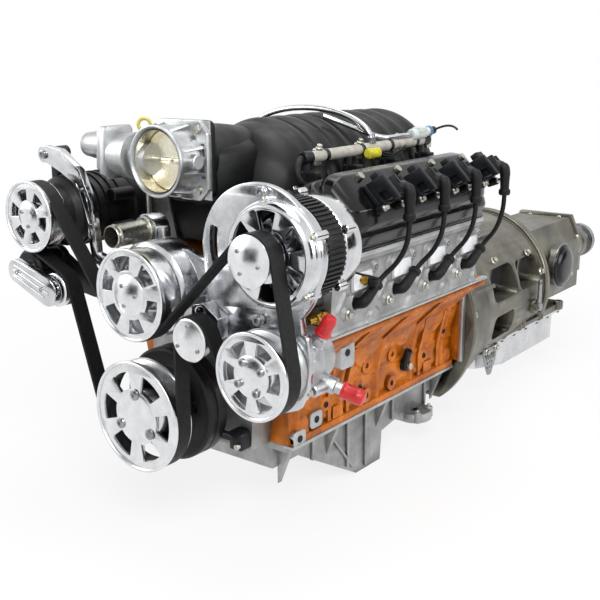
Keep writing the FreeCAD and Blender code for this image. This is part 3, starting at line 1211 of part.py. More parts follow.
def transmission_case():
    """Bell and case in one casting, flat at the bottom for the pan, hollow for the converter."""
    wall = BELL_WALL
    y0 = BLOCK_LENGTH + SEAT
    outline = [(0, y0), (BELL_R, y0), (BELL_R, y0 + 14), (BELL_R - 18, y0 + 14), (BELL_R - 18, 620),
               (RING_R - 2, RING_Y - 22), (RING_R, RING_Y - 20), (RING_R, RING_Y), (112, RING_Y + 26),
               (100, 1020), (0, 1020)]
    shell = turned(0, 0, outline)
    rear = prism_y([(-CASE_REAR_HALF - 14, -70), (CASE_REAR_HALF + 14, -70), (CASE_REAR_HALF + 14, 40),
                    (CASE_REAR_HALF - 16, 104), (-CASE_REAR_HALF + 16, 104), (-CASE_REAR_HALF - 14, 40)],
                   RING_Y, CASE_REAR_Y - 16)
    flange = prism_y([(-CASE_REAR_HALF, -74), (CASE_REAR_HALF, -74), (CASE_REAR_HALF + 8, 60),
                      (CASE_REAR_HALF - 14, 110), (-CASE_REAR_HALF + 14, 110), (-CASE_REAR_HALF - 8, 60)],
                     CASE_REAR_Y - 16, CASE_REAR_Y)
    rail = block_box(-TPAN_HALF, TPAN_HALF, TPAN_FRONT_Y, TPAN_REAR_Y, TPAN_RAIL_Z, TPAN_RAIL_Z + 14)
    body = join([shell, rear, flange])
    below = block_box(-260, 260, TPAN_FRONT_Y - 2, 1400, -260, TPAN_RAIL_Z)
    body = join([body.cut(below).cut(block_box(-260, 260, 500, 1400, -260, BELL_FLAT_Z)), rail])
    room = turned(0, 0, [(0, y0 - 1), (BELL_R - 24, y0 - 1), (BELL_R - 28, CONVERTER_REAR_Y + 8),
                         (0, CONVERTER_REAR_Y + 8)])
    room = room.cut(block_box(-260, 260, 500, 710, -260, BELL_FLAT_Z + wall))
    gear_room = rod_y(0, 0, GEAR_ROOM_R, GEAR_FRONT_Y - 4, GEAR_REAR_Y + 4)
    valve_room = block_box(-116, 116, GEAR_FRONT_Y - 4, GEAR_REAR_Y + 4, TPAN_RAIL_Z - 1, -30)
    shaft_way = rod_y(0, 0, OUTPUT_R + RUNNING_GAP, GEAR_REAR_Y, CASE_REAR_Y + 1)
    input_way = rod_y(0, 0, 28 + RUNNING_GAP, 590, GEAR_FRONT_Y)
    cover = rod_x(COVER_Y, COVER_Z, 50, 80, COVER_X - SEAT)
    lever_boss = rod_x(SELECTOR_Y, SELECTOR_Z, 16, 120, SELECTOR_X)
    lever_way = rod_x(SELECTOR_Y, SELECTOR_Z, 9 + RUNNING_GAP, SELECTOR_X - 26, SELECTOR_X + 1)
    ribs = []
    for angle in (20, 55, 125, 160):
        rib = block_box(BELL_R - 60, BELL_R - 12, y0 + 12, 760, -4, 4)
        rib.rotate(vec(0, 0, 0), FRONTWARD, angle)
        ribs.append(rib)
    for side in (1, -1):
        for y in RAIL_BOLTS:
            ribs.append(rod_z(side * (TPAN_HALF - 2), y, 9, TPAN_RAIL_Z + SEAT, TPAN_RAIL_Z + 20))
        low, high = sorted((side * 100, side * (RING_R - 2)))
        ribs.append(block_box(low, high, RING_Y - 150, RING_Y - 10, -6, 6))
    body = join([body, cover, lever_boss] + ribs)
    body = body.cut(Part.makeCompound(case_pockets()))
    return body.cut(Part.makeCompound([room, gear_room, valve_room, shaft_way, input_way, lever_way]))


COVER_Y = RING_Y + 195.0
COVER_Z = 8.0
COVER_X = 112.0
COVER_R = 53.0


def servo_cover():
    """The shiny round cover on the case's driver side."""
    outline = [(0, COVER_X), (COVER_R, COVER_X), (COVER_R, COVER_X + 8), (COVER_R - 6, COVER_X + 14),
               (0, COVER_X + 16)]
    corners = [vec(x, COVER_Y + r, COVER_Z) for r, x in outline]
    face = Part.Face(Part.makePolygon(corners + corners[:1]))
    return face.revolve(vec(0, COVER_Y, COVER_Z), ACROSS, 360)


def transmission_pan():
    gap = 0.3
    top = TPAN_RAIL_Z - gap
    rim = block_box(-TPAN_HALF, TPAN_HALF, TPAN_FRONT_Y, TPAN_REAR_Y, top - 5, top)

    def side_view(inset):
        lift = 1 if inset else 0
        return [(TPAN_FRONT_Y + 14 + inset, top + lift), (TPAN_FRONT_Y + 18 + inset, TPAN_FRONT_Z + inset),
                (TPAN_FRONT_Y + 160, TPAN_REAR_Z + inset), (TPAN_REAR_Y - 18 - inset, TPAN_REAR_Z + inset),
                (TPAN_REAR_Y - 14 - inset, top + lift)]
    half = TPAN_HALF - 14
    tray = prism_x(side_view(0), -half, half)
    tray = round_edges(tray, 22, lambda e: runs_along(e, UP) or abs(e.tangentAt(e.FirstParameter).z) > 0.9)
    tray = tray.cut(prism_x(side_view(PAN_WALL), -half + 8, half - 8))
    rim = rim.cut(block_box(-half + 8, half - 8, TPAN_FRONT_Y + 22, TPAN_REAR_Y - 22, top - 9, top + 1))
    return join([tray, rim])


def tail_housing():
    y0 = CASE_REAR_Y + SEAT
    outline = [(OUTPUT_R + RUNNING_GAP, y0), (76, y0), (76, y0 + 12), (56, y0 + 30), (TAIL_R, TAIL_END_Y - 60),
               (TAIL_R, TAIL_END_Y - 30), (OUTPUT_R + RUNNING_GAP, TAIL_END_Y - 30)]
    pad = block_box(-46, 46, y0 + 70, y0 + 130, -64, -20)
    body = join([turned(0, 0, outline), pad]).cut(rod_y(0, 0, OUTPUT_R + RUNNING_GAP, y0 - 1, TAIL_END_Y))
    holes = [rod_z(x, y0 + 100, 5.1, -65, -44) for x in (-30, 30)]
    return body.cut(Part.makeCompound(holes))


def output_shaft():
    """Output shaft with its slip yoke's round flange behind the tail housing."""
    shaft = rod_y(0, 0, OUTPUT_R, GEAR_REAR_Y - 10, TAIL_END_Y - 20)
    drum = rod_y(0, 0, GEAR_ROOM_R - 6, GEAR_FRONT_Y, GEAR_REAR_Y)
    grooves = [ring_y(0, 0, GEAR_ROOM_R, GEAR_ROOM_R - 12, y, y + 10) for y in (740, 830, 920)]
    drum = drum.cut(Part.makeCompound(grooves))
    flange = ring_y(0, 0, 46, 30, TAIL_END_Y - 8, TAIL_END_Y + 10)
    hub = rod_y(0, 0, 34, TAIL_END_Y - 28, TAIL_END_Y - 4)
    return join([shaft, drum, hub, flange])


def flexplate():
    plate = rod_y(0, 0, FLEX_R, BLOCK_LENGTH + 12, BLOCK_LENGTH + 17)
    ring = ring_y(0, 0, FLEX_R, FLEX_R - 9, BLOCK_LENGTH + 8, BLOCK_LENGTH + 20)
    holes = [rod_y(*polar(0, 0, 96, 30 + 60 * i), 16, 520, 560) for i in range(6)]
    return join([plate, ring]).cut(Part.makeCompound(holes))


def torque_converter():
    y0 = BLOCK_LENGTH + 24
    rear = CONVERTER_REAR_Y
    outline = [(0, y0), (96, y0), (122, y0 + 8), (128, y0 + 20), (128, rear - 22), (112, rear - 8), (70, rear - 1),
               (28, rear), (28, GEAR_FRONT_Y - 2), (0, GEAR_FRONT_Y - 2)]
    pads = [rod_y(*polar(0, 0, 80, 60 + 120 * i), 12, BLOCK_LENGTH + 17, y0 + 1) for i in range(3)]
    return join([turned(0, 0, outline)] + pads)


SELECTOR_Y = BLOCK_LENGTH + 342.0
SELECTOR_Z = -28.0


def selector_lever():
    """Manual lever on the case's driver side."""
    x = SELECTOR_X
    hub = rod_x(SELECTOR_Y, SELECTOR_Z, 9, x - 24, x + 10)
    arm = prism_x([(SELECTOR_Y - 9, SELECTOR_Z), (SELECTOR_Y + 9, SELECTOR_Z), (SELECTOR_Y + 6, SELECTOR_Z + 62),
                   (SELECTOR_Y - 6, SELECTOR_Z + 62)], x + 3, x + 7)
    arm = arm.cut(rod_x(SELECTOR_Y, SELECTOR_Z + 54, 3.2, x, x + 20))
    return join([hub, arm])


SELECTOR_X = 172.0


# Dipstick beside the throttle, small fittings and fasteners
STICK_X = -150.0
STICK_Y = 8.0
STICK_TOP_Z = 396.0
STICK_TUBE_R = 5.0
STICK_R = 2.6


def dipstick_tube():
    tube = rod_z(STICK_X, STICK_Y, STICK_TUBE_R, -40, STICK_TOP_Z)
    funnel = rod_z(STICK_X, STICK_Y, STICK_TUBE_R + 2, STICK_TOP_Z - 14, STICK_TOP_Z)
    return join([tube, funnel]).cut(rod_z(STICK_X, STICK_Y, STICK_R + BODY_GAP, -30, STICK_TOP_Z + 1))


def dipstick():
    blade = rod_z(STICK_X, STICK_Y, STICK_R, -25, STICK_TOP_Z + 6)
    stop = rod_z(STICK_X, STICK_Y, 8, STICK_TOP_Z + 0.5, STICK_TOP_Z + 8)
    loop = Part.makeTorus(10, 3, vec(STICK_X, STICK_Y, STICK_TOP_Z + 19), vec(0.6, -0.8, 0))
    return join([blade, stop, loop])


def core_plugs():
    made = []
    for side in (1, -1):
        for y in bore_places(side)[:4:2]:
            made.append(Part.makeCylinder(19, 2, bank_point(side, DECK_HALF + SEAT, DECK_HEIGHT - CORE_PLUG_DROP, y),
                                          bank_point(side, 1, 0, 0)))
    return made


def front_sensors():
    """Knock sensor on the block's side and crank sensor on the front cover."""
    knock = rod_x(330, -24, 11, SKIRT_HALF + SEAT, SKIRT_HALF + 16)
    lead = rod_x(330, -24, 7, SKIRT_HALF + 16, SKIRT_HALF + 30)
    crank = block_box(88, 112, COVER_FRONT_Y - 24, COVER_FRONT_Y - SEAT, -66, -36)
    return [join([knock, lead]), crank]


def temperature_sensor():
    """The brass sender in the driver's head front."""
    place = bank_point(1, 44, DECK_HEIGHT + 21, 0)
    hexagon = rod_y(place.x, place.z, 9, HEAD_FRONT_Y - 26, HEAD_FRONT_Y - SEAT)
    tip = rod_y(place.x, place.z, 6, HEAD_FRONT_Y - 46, HEAD_FRONT_Y - 26)
    return join([hexagon, tip])


def cover_bolts():
    """Screws along each valve cover's middle."""
    made = []
    for side in (1, -1):
        for i in range(4):
            y = head_y(side) + 82 + i * COIL_PITCH
            base = bank_point(side, -92, RAIL_V + COVER_HEIGHT + SEAT, y)
            made.append(Part.makeCylinder(6, 6, base, bank_axis(side)))
    return made


def throttle_bolts():
    made = []
    reach = THROTTLE_FLANGE_HALF - 12
    for sx in (-1, 1):
        for sz in (-1, 1):
            x, z = sx * reach, THROTTLE_Z + sz * reach
            made.append(rod_y(x, z, 6, THROTTLE_FLANGE_Y - 17, THROTTLE_FLANGE_Y - 11.3))
    return made


def pan_bolts():
    made = []
    for side in (1, -1):
        for y in (40, 110, 190, 360, 440):
            made.append(rod_z(side * (PAN_RAIL_HALF - 9), y, 5, RAIL_Z - 17, RAIL_Z - 11.6))
    return made


def bell_bolts():
    made = []
    for angle in (8, 40, 72, 108, 140, 172):
        x, z = polar(0, 0, BELL_R - 8.5, angle)
        made.append(rod_y(x, z, 7, BLOCK_LENGTH + 14 + 2 * SEAT, BLOCK_LENGTH + 24))
    return made


def valley_cover():
    flat = block_box(-60, 60, 40, 478, VALLEY_Z + SEAT, VALLEY_Z + 9)
    ribs = [block_box(-50, 50, y, y + 4, VALLEY_Z + 8, VALLEY_Z + 16) for y in range(80, 460, 60)]
    return join([flat] + ribs)


def both(maker):
    """The solids of both banks, for a node that holds them together."""
    return maker(1) + maker(-1)


def build_engine():
    save("engine_block", engine_block(), *bearing_caps())
    save("oil_pan", oil_pan())
    save("timing_cover", timing_cover())
    save("valley_cover", valley_cover())
    save("crankshaft", crankshaft())
    save("camshaft", camshaft())
    save("cam_sprocket", sprocket(CAM_HEIGHT, CAM_SPROCKET_R, 44, 10))
    save("timing_chain", timing_chain())
    save("head_gaskets", head_gasket(1), head_gasket(-1))
    save("valve_covers", valve_cover(1), valve_cover(-1))
    save("ignition_coils", *both(ignition_coils))
    save("plug_wires", *(both(plug_wires) + both(plug_boots)))
    save("spark_plugs", *both(spark_plugs))
    for name, side in SIDES.items():
        save("head_" + name, cylinder_head(side))
        for i, y in enumerate(bore_places(side)):
            save("piston_%s_%d" % (name, i + 1), piston(side, y, piston_drop(i, side)))
    save("oil_filler_cap", oil_filler_cap())


def build_intake():
    save("intake_manifold", intake_manifold())
    save("throttle_body", throttle_body(), throttle_motor())
    save("throttle_plate", throttle_plate())
    save("fuel_rails", *(fuel_rails() + [fuel_crossover()] + fuel_injectors()))


def build_drive():
    save("harmonic_damper", harmonic_damper())
    save("crank_pulley", crank_pulley())
    save("water_pump_housing", water_pump_housing())
    save("water_pump_pulley", water_pump_pulley())
    save("hose_nipple", hose_nipple())
    save("alternator_case", *(alternator_case() + [alternator_stator()]))
    save("alternator_rotor", alternator_rotor())
    save("alternator_pulley", alternator_pulley())
    save("ring_bracket", ring_bracket())
    save("accessory_posts", idler_post(), *bracket_posts())
    save("steering_pump", steering_pump())
    save("steering_pulley", steering_pulley())
    save("steering_caps", *steering_caps())
    save("compressor", compressor())
    save("compressor_pulley", cooling_pulley())
    save("compressor_bracket", cooling_bracket())
    save("idler_pulley", idler_pulley())
    save("tensioner_base", *tensioner_base())
    save("tensioner_arm", tensioner_arm())
    save("tensioner_roller", tensioner_roller())
    save("serpentine_belt", serpentine_belt())


def build_transmission():
    save("transmission_case", transmission_case())
    save("transmission_pan", transmission_pan())
    save("servo_cover", servo_cover())
    save("tail_housing", tail_housing())
    save("output_shaft", output_shaft())
    save("torque_converter", flexplate(), torque_converter())
    save("selector_lever", selector_lever())


def build_fittings():
    save("dipstick_tube", dipstick_tube())
    save("dipstick", dipstick())
    save("sensors", *(front_sensors() + [temperature_sensor()]))
    save("bolts", *(pan_bolts() + cover_bolts() + throttle_bolts() + bell_bolts() + core_plugs()))


build_engine()
build_intake()
build_drive()
build_transmission()
build_fittings()
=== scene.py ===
import math

import bmesh
import bpy
from mathutils import Matrix, Vector


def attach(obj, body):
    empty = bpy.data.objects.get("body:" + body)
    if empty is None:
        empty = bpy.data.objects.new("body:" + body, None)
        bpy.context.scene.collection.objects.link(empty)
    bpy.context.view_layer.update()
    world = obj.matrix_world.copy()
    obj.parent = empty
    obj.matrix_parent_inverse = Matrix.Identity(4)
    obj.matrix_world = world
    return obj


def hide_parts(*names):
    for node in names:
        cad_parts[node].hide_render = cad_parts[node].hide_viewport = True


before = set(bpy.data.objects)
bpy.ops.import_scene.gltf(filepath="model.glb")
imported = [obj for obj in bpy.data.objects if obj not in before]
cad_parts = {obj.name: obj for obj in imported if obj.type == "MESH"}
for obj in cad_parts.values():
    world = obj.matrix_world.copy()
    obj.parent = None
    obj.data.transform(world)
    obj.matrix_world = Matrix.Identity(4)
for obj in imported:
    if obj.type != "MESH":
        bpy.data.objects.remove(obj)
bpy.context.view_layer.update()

# Places are written as on the engine's drawing, in millimetres: X to the driver's side, Y rearward from the
# block's front face, Z up from the crank axis. The sump's floor is the frame's origin.
SUMP_MID_Y = 275.0
SUMP_DEPTH = 213.0


def at(x, y, z):
    return Vector((x, y - SUMP_MID_Y, z + SUMP_DEPTH)) / 1000


def linear(hex_colour, alpha=1.0):
    """An sRGB hex colour as the linear values that a shader takes."""
    channels = [int(hex_colour[i:i + 2], 16) / 255 for i in (1, 3, 5)]
    return tuple(c / 12.92 if c <= 0.04045 else ((c + 0.055) / 1.055) ** 2.4 for c in channels) + (alpha,)


def add_node(tree, kind, settings=None, links=None):
    """Adds a node, sets its properties and socket values, and links {socket: (node, output)}."""
    node = tree.nodes.new(kind)
    for key, value in (settings or {}).items():
        if not isinstance(key, int) and hasattr(node, key):
            setattr(node, key, value)
        else:
            node.inputs[key].default_value = value
    for key, (source, output) in (links or {}).items():
        tree.links.new(source.outputs[output], node.inputs[key])
    return node


def new_material(name):
    material = bpy.data.materials.new(name)
    material.use_nodes = True
    material.node_tree.nodes.clear()
    return material, material.node_tree


def surface(name, colour, second, blotch_mm, rough, rough_spread, grain_mm, grain_depth, metallic=0.0,
        pits_mm=0.0, pits_depth=0.0, coat=0.0, coat_rough=0.1, sheen=0.0, offset=(0, 0, 0), rings_mm=0.0,
        rings_depth=0.0, specular=0.5, brush=None, turned=False, hollow_shade=0.0):
    """One finish: blotches of a second colour, uneven gloss, grain, casting lumps, turned rings, painted shade in
    hollows.
    """
    material, tree = new_material(name)
    place = add_node(tree, "ShaderNodeTexCoord")
    mapped = add_node(tree, "ShaderNodeMapping", {"Location": tuple(-c for c in offset)},
        {"Vector": (place, "Object")})
    blotch = add_node(tree, "ShaderNodeTexNoise", {"Scale": 1000 / blotch_mm, "Detail": 5.0,
        "Roughness": 0.6}, {"Vector": (mapped, "Vector")})
    ramp = add_node(tree, "ShaderNodeValToRGB", None, {"Fac": (blotch, "Fac")})
    ramp.color_ramp.elements[0].position = 0.34
    ramp.color_ramp.elements[0].color = linear(second)
    ramp.color_ramp.elements[1].position = 0.66
    ramp.color_ramp.elements[1].color = linear(colour)
    gloss = add_node(tree, "ShaderNodeTexNoise", {"Scale": 1000 / (blotch_mm * 0.37), "Detail": 6.0},
        {"Vector": (mapped, "Vector")})
    rough_map = add_node(tree, "ShaderNodeMapRange", {"From Min": 0.3, "From Max": 0.7, "To Min": rough,
        "To Max": rough + rough_spread}, {"Value": (gloss, "Fac")})
    stretch = mapped
    if brush:
        stretch = add_node(tree, "ShaderNodeMapping", {"Scale": brush}, {"Vector": (mapped, "Vector")})
    grain = add_node(tree, "ShaderNodeTexNoise", {"Scale": 1000 / grain_mm, "Detail": 3.0, "Roughness": 0.7},
        {"Vector": (stretch, "Vector")})
    bump = add_node(tree, "ShaderNodeBump", {"Strength": 1.0, "Distance": grain_depth / 1000},
        {"Height": (grain, "Fac")})
    if pits_mm:
        pits = add_node(tree, "ShaderNodeTexVoronoi", {"Scale": 1000 / pits_mm, "feature": "SMOOTH_F1"},
            {"Vector": (mapped, "Vector")})
        bump = add_node(tree, "ShaderNodeBump", {"Strength": 1.0, "Distance": pits_depth / 1000},
            {"Height": (pits, "Distance"), "Normal": (bump, "Normal")})
    if rings_mm:
        rings = add_node(tree, "ShaderNodeTexWave", {"wave_type": "RINGS", "rings_direction": "Y",
            "Scale": 1000 * 2 * math.pi / rings_mm / 20, "Distortion": 0.3, "Detail": 2.0,
            "Detail Scale": 3.0}, {"Vector": (mapped, "Vector")})
        bump = add_node(tree, "ShaderNodeBump", {"Strength": 1.0, "Distance": rings_depth / 1000},
            {"Height": (rings, "Fac"), "Normal": (bump, "Normal")})
    shader = add_node(tree, "ShaderNodeBsdfPrincipled", {"Metallic": metallic, "Coat Weight": coat,
        "Coat Roughness": coat_rough, "Sheen Weight": sheen, "Specular IOR Level": specular},
        {"Base Color": (ramp, "Color"), "Roughness": (rough_map, "Result"), "Normal": (bump, "Normal")})
    # Painted shade: the base colour is darkened where ambient occlusion finds hollows and corners.
    if hollow_shade:
        open_sky = add_node(tree, "ShaderNodeAmbientOcclusion", {"samples": 4, "Distance": 0.022})
        shade = add_node(tree, "ShaderNodeMapRange", {"From Min": 0.25, "From Max": 0.9, "To Min": 1 - hollow_shade,
            "To Max": 1.0}, {"Value": (open_sky, "AO")})
        darker = add_node(tree, "ShaderNodeVectorMath", {"operation": "MULTIPLY"},
            {0: (ramp, "Color"), 1: (shade, "Result")})
        tree.links.new(darker.outputs["Vector"], shader.inputs["Base Color"])
    if turned:
        around = add_node(tree, "ShaderNodeVectorMath", {"operation": "CROSS_PRODUCT", 1: (0, 1, 0)},
            {0: (mapped, "Vector")})
        along = add_node(tree, "ShaderNodeVectorTransform", {"vector_type": "VECTOR",
            "convert_from": "OBJECT", "convert_to": "WORLD"}, {"Vector": (around, "Vector")})
        tree.links.new(along.outputs["Vector"], shader.inputs["Tangent"])
        shader.inputs["Anisotropic"].default_value = 0.65
    add_node(tree, "ShaderNodeOutputMaterial", None, {"Surface": (shader, "BSDF")})
    return material


# Burnt-orange engine enamel, sprayed over sand-cast iron: glossy paint that keeps the sand's lumps, with painted
# shade darkening its hollows.
ORANGE = surface("orange_enamel", "#CE7000", "#8E4500", 40, 0.32, 0.20, 1.8, 0.34, pits_mm=9, pits_depth=1.1,
    coat=0.12, coat_rough=0.2, specular=0.28, hollow_shade=0.62)
# Sand-cast aluminium, left bare: a pale matt skin with a fine pebble grain of about 1.5 mm, with painted shade
# darkening its hollows.
CAST = surface("cast_aluminium", "#B4B5B4", "#8F908F", 45, 0.40, 0.18, 1.5, 0.22, metallic=0.85, pits_mm=4,
    pits_depth=0.16, hollow_shade=0.6)
# The throttle's casting, finer and brighter, shot with small glass beads.
CAST_SMOOTH = surface("bead_blasted_casting", "#C3C5C6", "#A8AAAB", 38, 0.30, 0.16, 1.2, 0.06, metallic=0.95,
    pits_mm=3, pits_depth=0.05)
# Billet aluminium, machined and buffed nearly to a mirror, with faint cloudy polishing marks.
BILLET = surface("polished_billet", "#DCDDDF", "#C2C4C7", 30, 0.08, 0.12, 2.5, 0.006, metallic=1.0)
# The same billet where it was only brushed on a belt, with long scratches front to rear.
BRUSHED = surface("brushed_billet", "#CDCFD1", "#B4B6B9", 34, 0.17, 0.13, 1.4, 0.010, metallic=1.0,
    brush=(1, 8, 1))
# Moulded nylon of the intake and its satin look.
INTAKE_BLACK = surface("moulded_black_nylon", "#0D0E0F", "#08090A", 50, 0.34, 0.14, 1.2, 0.05, pits_mm=2.4,
    pits_depth=0.04, specular=0.24)
# Gloss black paint on the valve covers.
COVER_BLACK = surface("gloss_black_paint", "#070708", "#040405", 60, 0.16, 0.10, 1.6, 0.010, coat=0.2,
    coat_rough=0.06, specular=0.26)
# Dark potted plastic of the coils.
COIL_PLASTIC = surface("coil_plastic", "#16181C", "#0D0E11", 16, 0.34, 0.16, 0.9, 0.05, specular=0.3)
# Belt and boot rubber: nearly black, dry, slightly dusty.
RUBBER = surface("black_rubber", "#0D0D0E", "#080809", 14, 0.48, 0.18, 0.8, 0.05, specular=0.28)
# Soft red caps pushed over the fittings.
RED_CAP = surface("red_cap_vinyl", "#C8141A", "#A90D14", 10, 0.30, 0.14, 1.1, 0.05, coat=0.2)
# Machined and oiled steel.
STEEL = surface("machined_steel", "#A9ABAC", "#8B8D8E", 14, 0.25, 0.18, 0.9, 0.03, metallic=1.0)
# Bare cast iron inside the engine and the damper's black inertia ring.
IRON = surface("cast_iron", "#4A4B4C", "#38393A", 20, 0.45, 0.2, 1.4, 0.12, metallic=0.9)
# This near-black also fills the tapped holes on the pads and heads, where it is painted shade.
DAMPER = surface("black_oxide_iron", "#121213", "#0B0B0C", 20, 0.38, 0.18, 1.2, 0.05, metallic=0.4)
# Bright zinc plate with its slightly yellow passivation.
ZINC = surface("yellowish_zinc", "#C9C7BC", "#A8A79C", 9, 0.24, 0.16, 0.8, 0.03, metallic=1.0)
# Turned brass.
BRASS = surface("turned_brass", "#C9A24A", "#A67F30", 8, 0.22, 0.15, 0.8, 0.03, metallic=1.0)
# Throttle bore, anodised pale gold.
GOLD = surface("gold_anodised", "#F0EBDA", "#E2DBC2", 20, 0.22, 0.12, 1.2, 0.02, metallic=1.0)
# Transmission case: die-cast aluminium under clear sealer, olive grey, with painted shade darkening its hollows.
CASE_GREY = surface("sealed_case_aluminium", "#7F7C70", "#5A5850", 90, 0.24, 0.16, 1.6, 0.05, metallic=0.9,
    pits_mm=5, pits_depth=0.05, hollow_shade=0.7)
# Pocket floors of the case: dark plates with a purple tint and a glossy coat, laid in as painted shade where the
# pockets lie in shadow.
POCKET_SHADE = surface("pooled_sealer", "#211A2B", "#0F0C14", 30, 0.16, 0.14, 1.2, 0.03, metallic=0.3, coat=0.3,
    coat_rough=0.08)
# Pressed steel pan, bright plated, with painted shade darkening its hollows.
PAN_BRIGHT = surface("bright_steel_pan", "#DADBDC", "#C0C1C4", 60, 0.22, 0.12, 1.6, 0.012, metallic=0.95,
    hollow_shade=0.5)
# Pale yellow coat of the dipstick.
YELLOW = surface("yellow_coat", "#DDD36E", "#C2B850", 8, 0.32, 0.12, 0.9, 0.04, coat=0.3)
# Blank white foil covers over the exhaust ports.
FOIL = surface("white_foil", "#E9EAEC", "#D6D8DB", 12, 0.34, 0.14, 1.0, 0.06)
# Light plastic of the fuel rail's sleeve, slightly yellowed.
SLEEVE = surface("grey_sleeve", "#B9B5AC", "#98948B", 14, 0.38, 0.15, 1.0, 0.05)
# Pale plug housings, the yellow ribbed one and the blue lock ring.
PLUG_WHITE = surface("pale_plug_plastic", "#D4DBD8", "#BAC3C0", 8, 0.34, 0.14, 0.8, 0.03)
PLUG_YELLOW = surface("yellow_plug_plastic", "#D9D23A", "#BBB324", 8, 0.34, 0.14, 0.8, 0.03)
PLUG_BLUE = surface("blue_lock_ring", "#4C7FB5", "#3A6696", 8, 0.32, 0.14, 0.8, 0.03)
# Grey composite gasket edge.
GASKET = surface("gasket_sheet", "#55575A", "#44464A", 12, 0.6, 0.1, 0.7, 0.05)

FINISH = {"engine_block": ORANGE, "oil_pan": CAST, "timing_cover": CAST, "valley_cover": INTAKE_BLACK,
    "crankshaft": IRON, "camshaft": IRON, "cam_sprocket": STEEL, "timing_chain": STEEL,
    "head_gaskets": GASKET, "valve_covers": COVER_BLACK, "ignition_coils": COIL_PLASTIC, "plug_wires": RUBBER,
    "spark_plugs": STEEL, "head_left": CAST, "head_right": CAST, "oil_filler_cap": COIL_PLASTIC,
    "intake_manifold": INTAKE_BLACK, "throttle_body": CAST, "throttle_plate": GOLD,
    "fuel_rails": INTAKE_BLACK, "harmonic_damper": DAMPER, "crank_pulley": BILLET,
    "water_pump_housing": BRUSHED, "water_pump_pulley": BILLET, "hose_nipple": ZINC,
    "alternator_case": BILLET, "alternator_rotor": IRON, "alternator_pulley": BILLET, "ring_bracket": BILLET,
    "accessory_posts": BILLET, "steering_pump": CAST, "steering_pulley": BILLET, "steering_caps": RED_CAP,
    "compressor": DAMPER, "compressor_pulley": BILLET, "compressor_bracket": BILLET, "idler_pulley": BILLET,
    "tensioner_base": DAMPER, "tensioner_arm": BILLET, "tensioner_roller": DAMPER, "serpentine_belt": RUBBER,
    "transmission_case": CASE_GREY, "transmission_pan": PAN_BRIGHT, "servo_cover": COVER_BLACK,
    "tail_housing": CASE_GREY, "output_shaft": STEEL, "torque_converter": STEEL, "selector_lever": STEEL,
    "dipstick_tube": ZINC, "dipstick": YELLOW, "sensors": BRASS, "bolts": ZINC,}
for bank in ("left", "right"):
    for number in range(1, 5):
        FINISH["piston_%s_%d" % (bank, number)] = CAST


def dress(node_name, material):
    """Gives a carried-over CAD node its finish."""
    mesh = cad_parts[node_name].data
    mesh.materials.clear()
    mesh.materials.append(material)


for node_name, material in FINISH.items():
    dress(node_name, material)


# Ways of making a piece
def ready(obj):
    """Turns an object with modifiers into its finished plain mesh."""
    graph = bpy.context.evaluated_depsgraph_get()
    graph.update()
    mesh = bpy.data.meshes.new_from_object(obj.evaluated_get(graph))
    mesh.name = obj.name
    bpy.data.objects.remove(obj)
    return mesh


def as_object(name, mesh):
    obj = bpy.data.objects.new(name, mesh)
    bpy.context.scene.collection.objects.link(obj)
    return obj


def rounded(mesh, width_mm, steps=2, angle=32):
    """Breaks the sharp edges of a mesh by a small radius."""
    obj = as_object(mesh.name, mesh)
    bevel = obj.modifiers.new("broken_edges", "BEVEL")
    bevel.width = width_mm / 1000
    bevel.segments = steps
    bevel.limit_method = "ANGLE"
    bevel.angle_limit = math.radians(angle)
    return ready(obj)


def closed_mesh(name, build):
    """Runs a bmesh builder, merges its seams and points its faces outwards."""
    shape = bmesh.new()
    build(shape)
    bmesh.ops.remove_doubles(shape, verts=shape.verts, dist=0.00002)
    bmesh.ops.recalc_face_normals(shape, faces=shape.faces)
    mesh = bpy.data.meshes.new(name)
    shape.to_mesh(mesh)
    shape.free()
    return mesh


def piece(name, meshes, body, material, replaces=(), sharp=35):
    """One finished piece from one or more meshes: it gets its finish, its shading and its body."""
    shape = bmesh.new()
    for mesh in meshes:
        shape.from_mesh(mesh)
        bpy.data.meshes.remove(mesh)
    whole = bpy.data.meshes.new(name)
    shape.to_mesh(whole)
    shape.free()
    whole.materials.append(material)
    whole.shade_smooth()
    whole.set_sharp_from_angle(angle=math.radians(sharp))
    obj = as_object(name, whole)
    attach(obj, body)
    if replaces:
        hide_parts(*replaces)
    return obj


def turned(name, x, z, profile, steps=96, edge=0.4):
    """A part turned on a lathe about a front-to-rear axis, from (radius, y) points in a closed loop."""
    def build(shape):
        rings = []
        for r, y in profile:
            ring = []
            for i in range(steps):
                a = 2 * math.pi * i / steps
                ring.append(shape.verts.new(at(x + r * math.cos(a), y, z + r * math.sin(a))))
            rings.append(ring)
        for k in range(len(rings)):
            near, far = rings[k], rings[(k + 1) % len(rings)]
            for i in range(steps):
                j = (i + 1) % steps
                shape.faces.new((near[i], near[j], far[j], far[i]))
        bmesh.ops.remove_doubles(shape, verts=shape.verts, dist=0.00002)
        bmesh.ops.dissolve_degenerate(shape, edges=shape.edges, dist=0.00002)
    mesh = closed_mesh(name, build)
    return rounded(mesh, edge) if edge else mesh


def corner_rounded(points, radius, sharp=25):
    """A loop of (x, z) points with an arc at each sharp corner."""
    made = []
    count = len(points)
    for i in range(count):
        p0, p1, p2 = (Vector(points[(i + k) % count]) for k in (-1, 0, 1))
        a, b = (p0 - p1), (p2 - p1)
        if a.length < 1e-6 or b.length < 1e-6:
            continue
        turn = math.pi - a.angle(b)
        if math.degrees(turn) < sharp:
            made.append(tuple(p1))
            continue
        reach = min(radius * math.tan(turn / 2), 0.45 * a.length, 0.45 * b.length)
        start, end = p1 + a.normalized() * reach, p1 + b.normalized() * reach
        for k in range(6):
            t = k / 5
            made.append(tuple(start * (1 - t) ** 2 + p1 * 2 * t * (1 - t) + end * t ** 2))
    return made


def circle(x, z, r, steps=72):
    return [(x + r * math.cos(2 * math.pi * i / steps), z + r * math.sin(2 * math.pi * i / steps))
        for i in range(steps)]


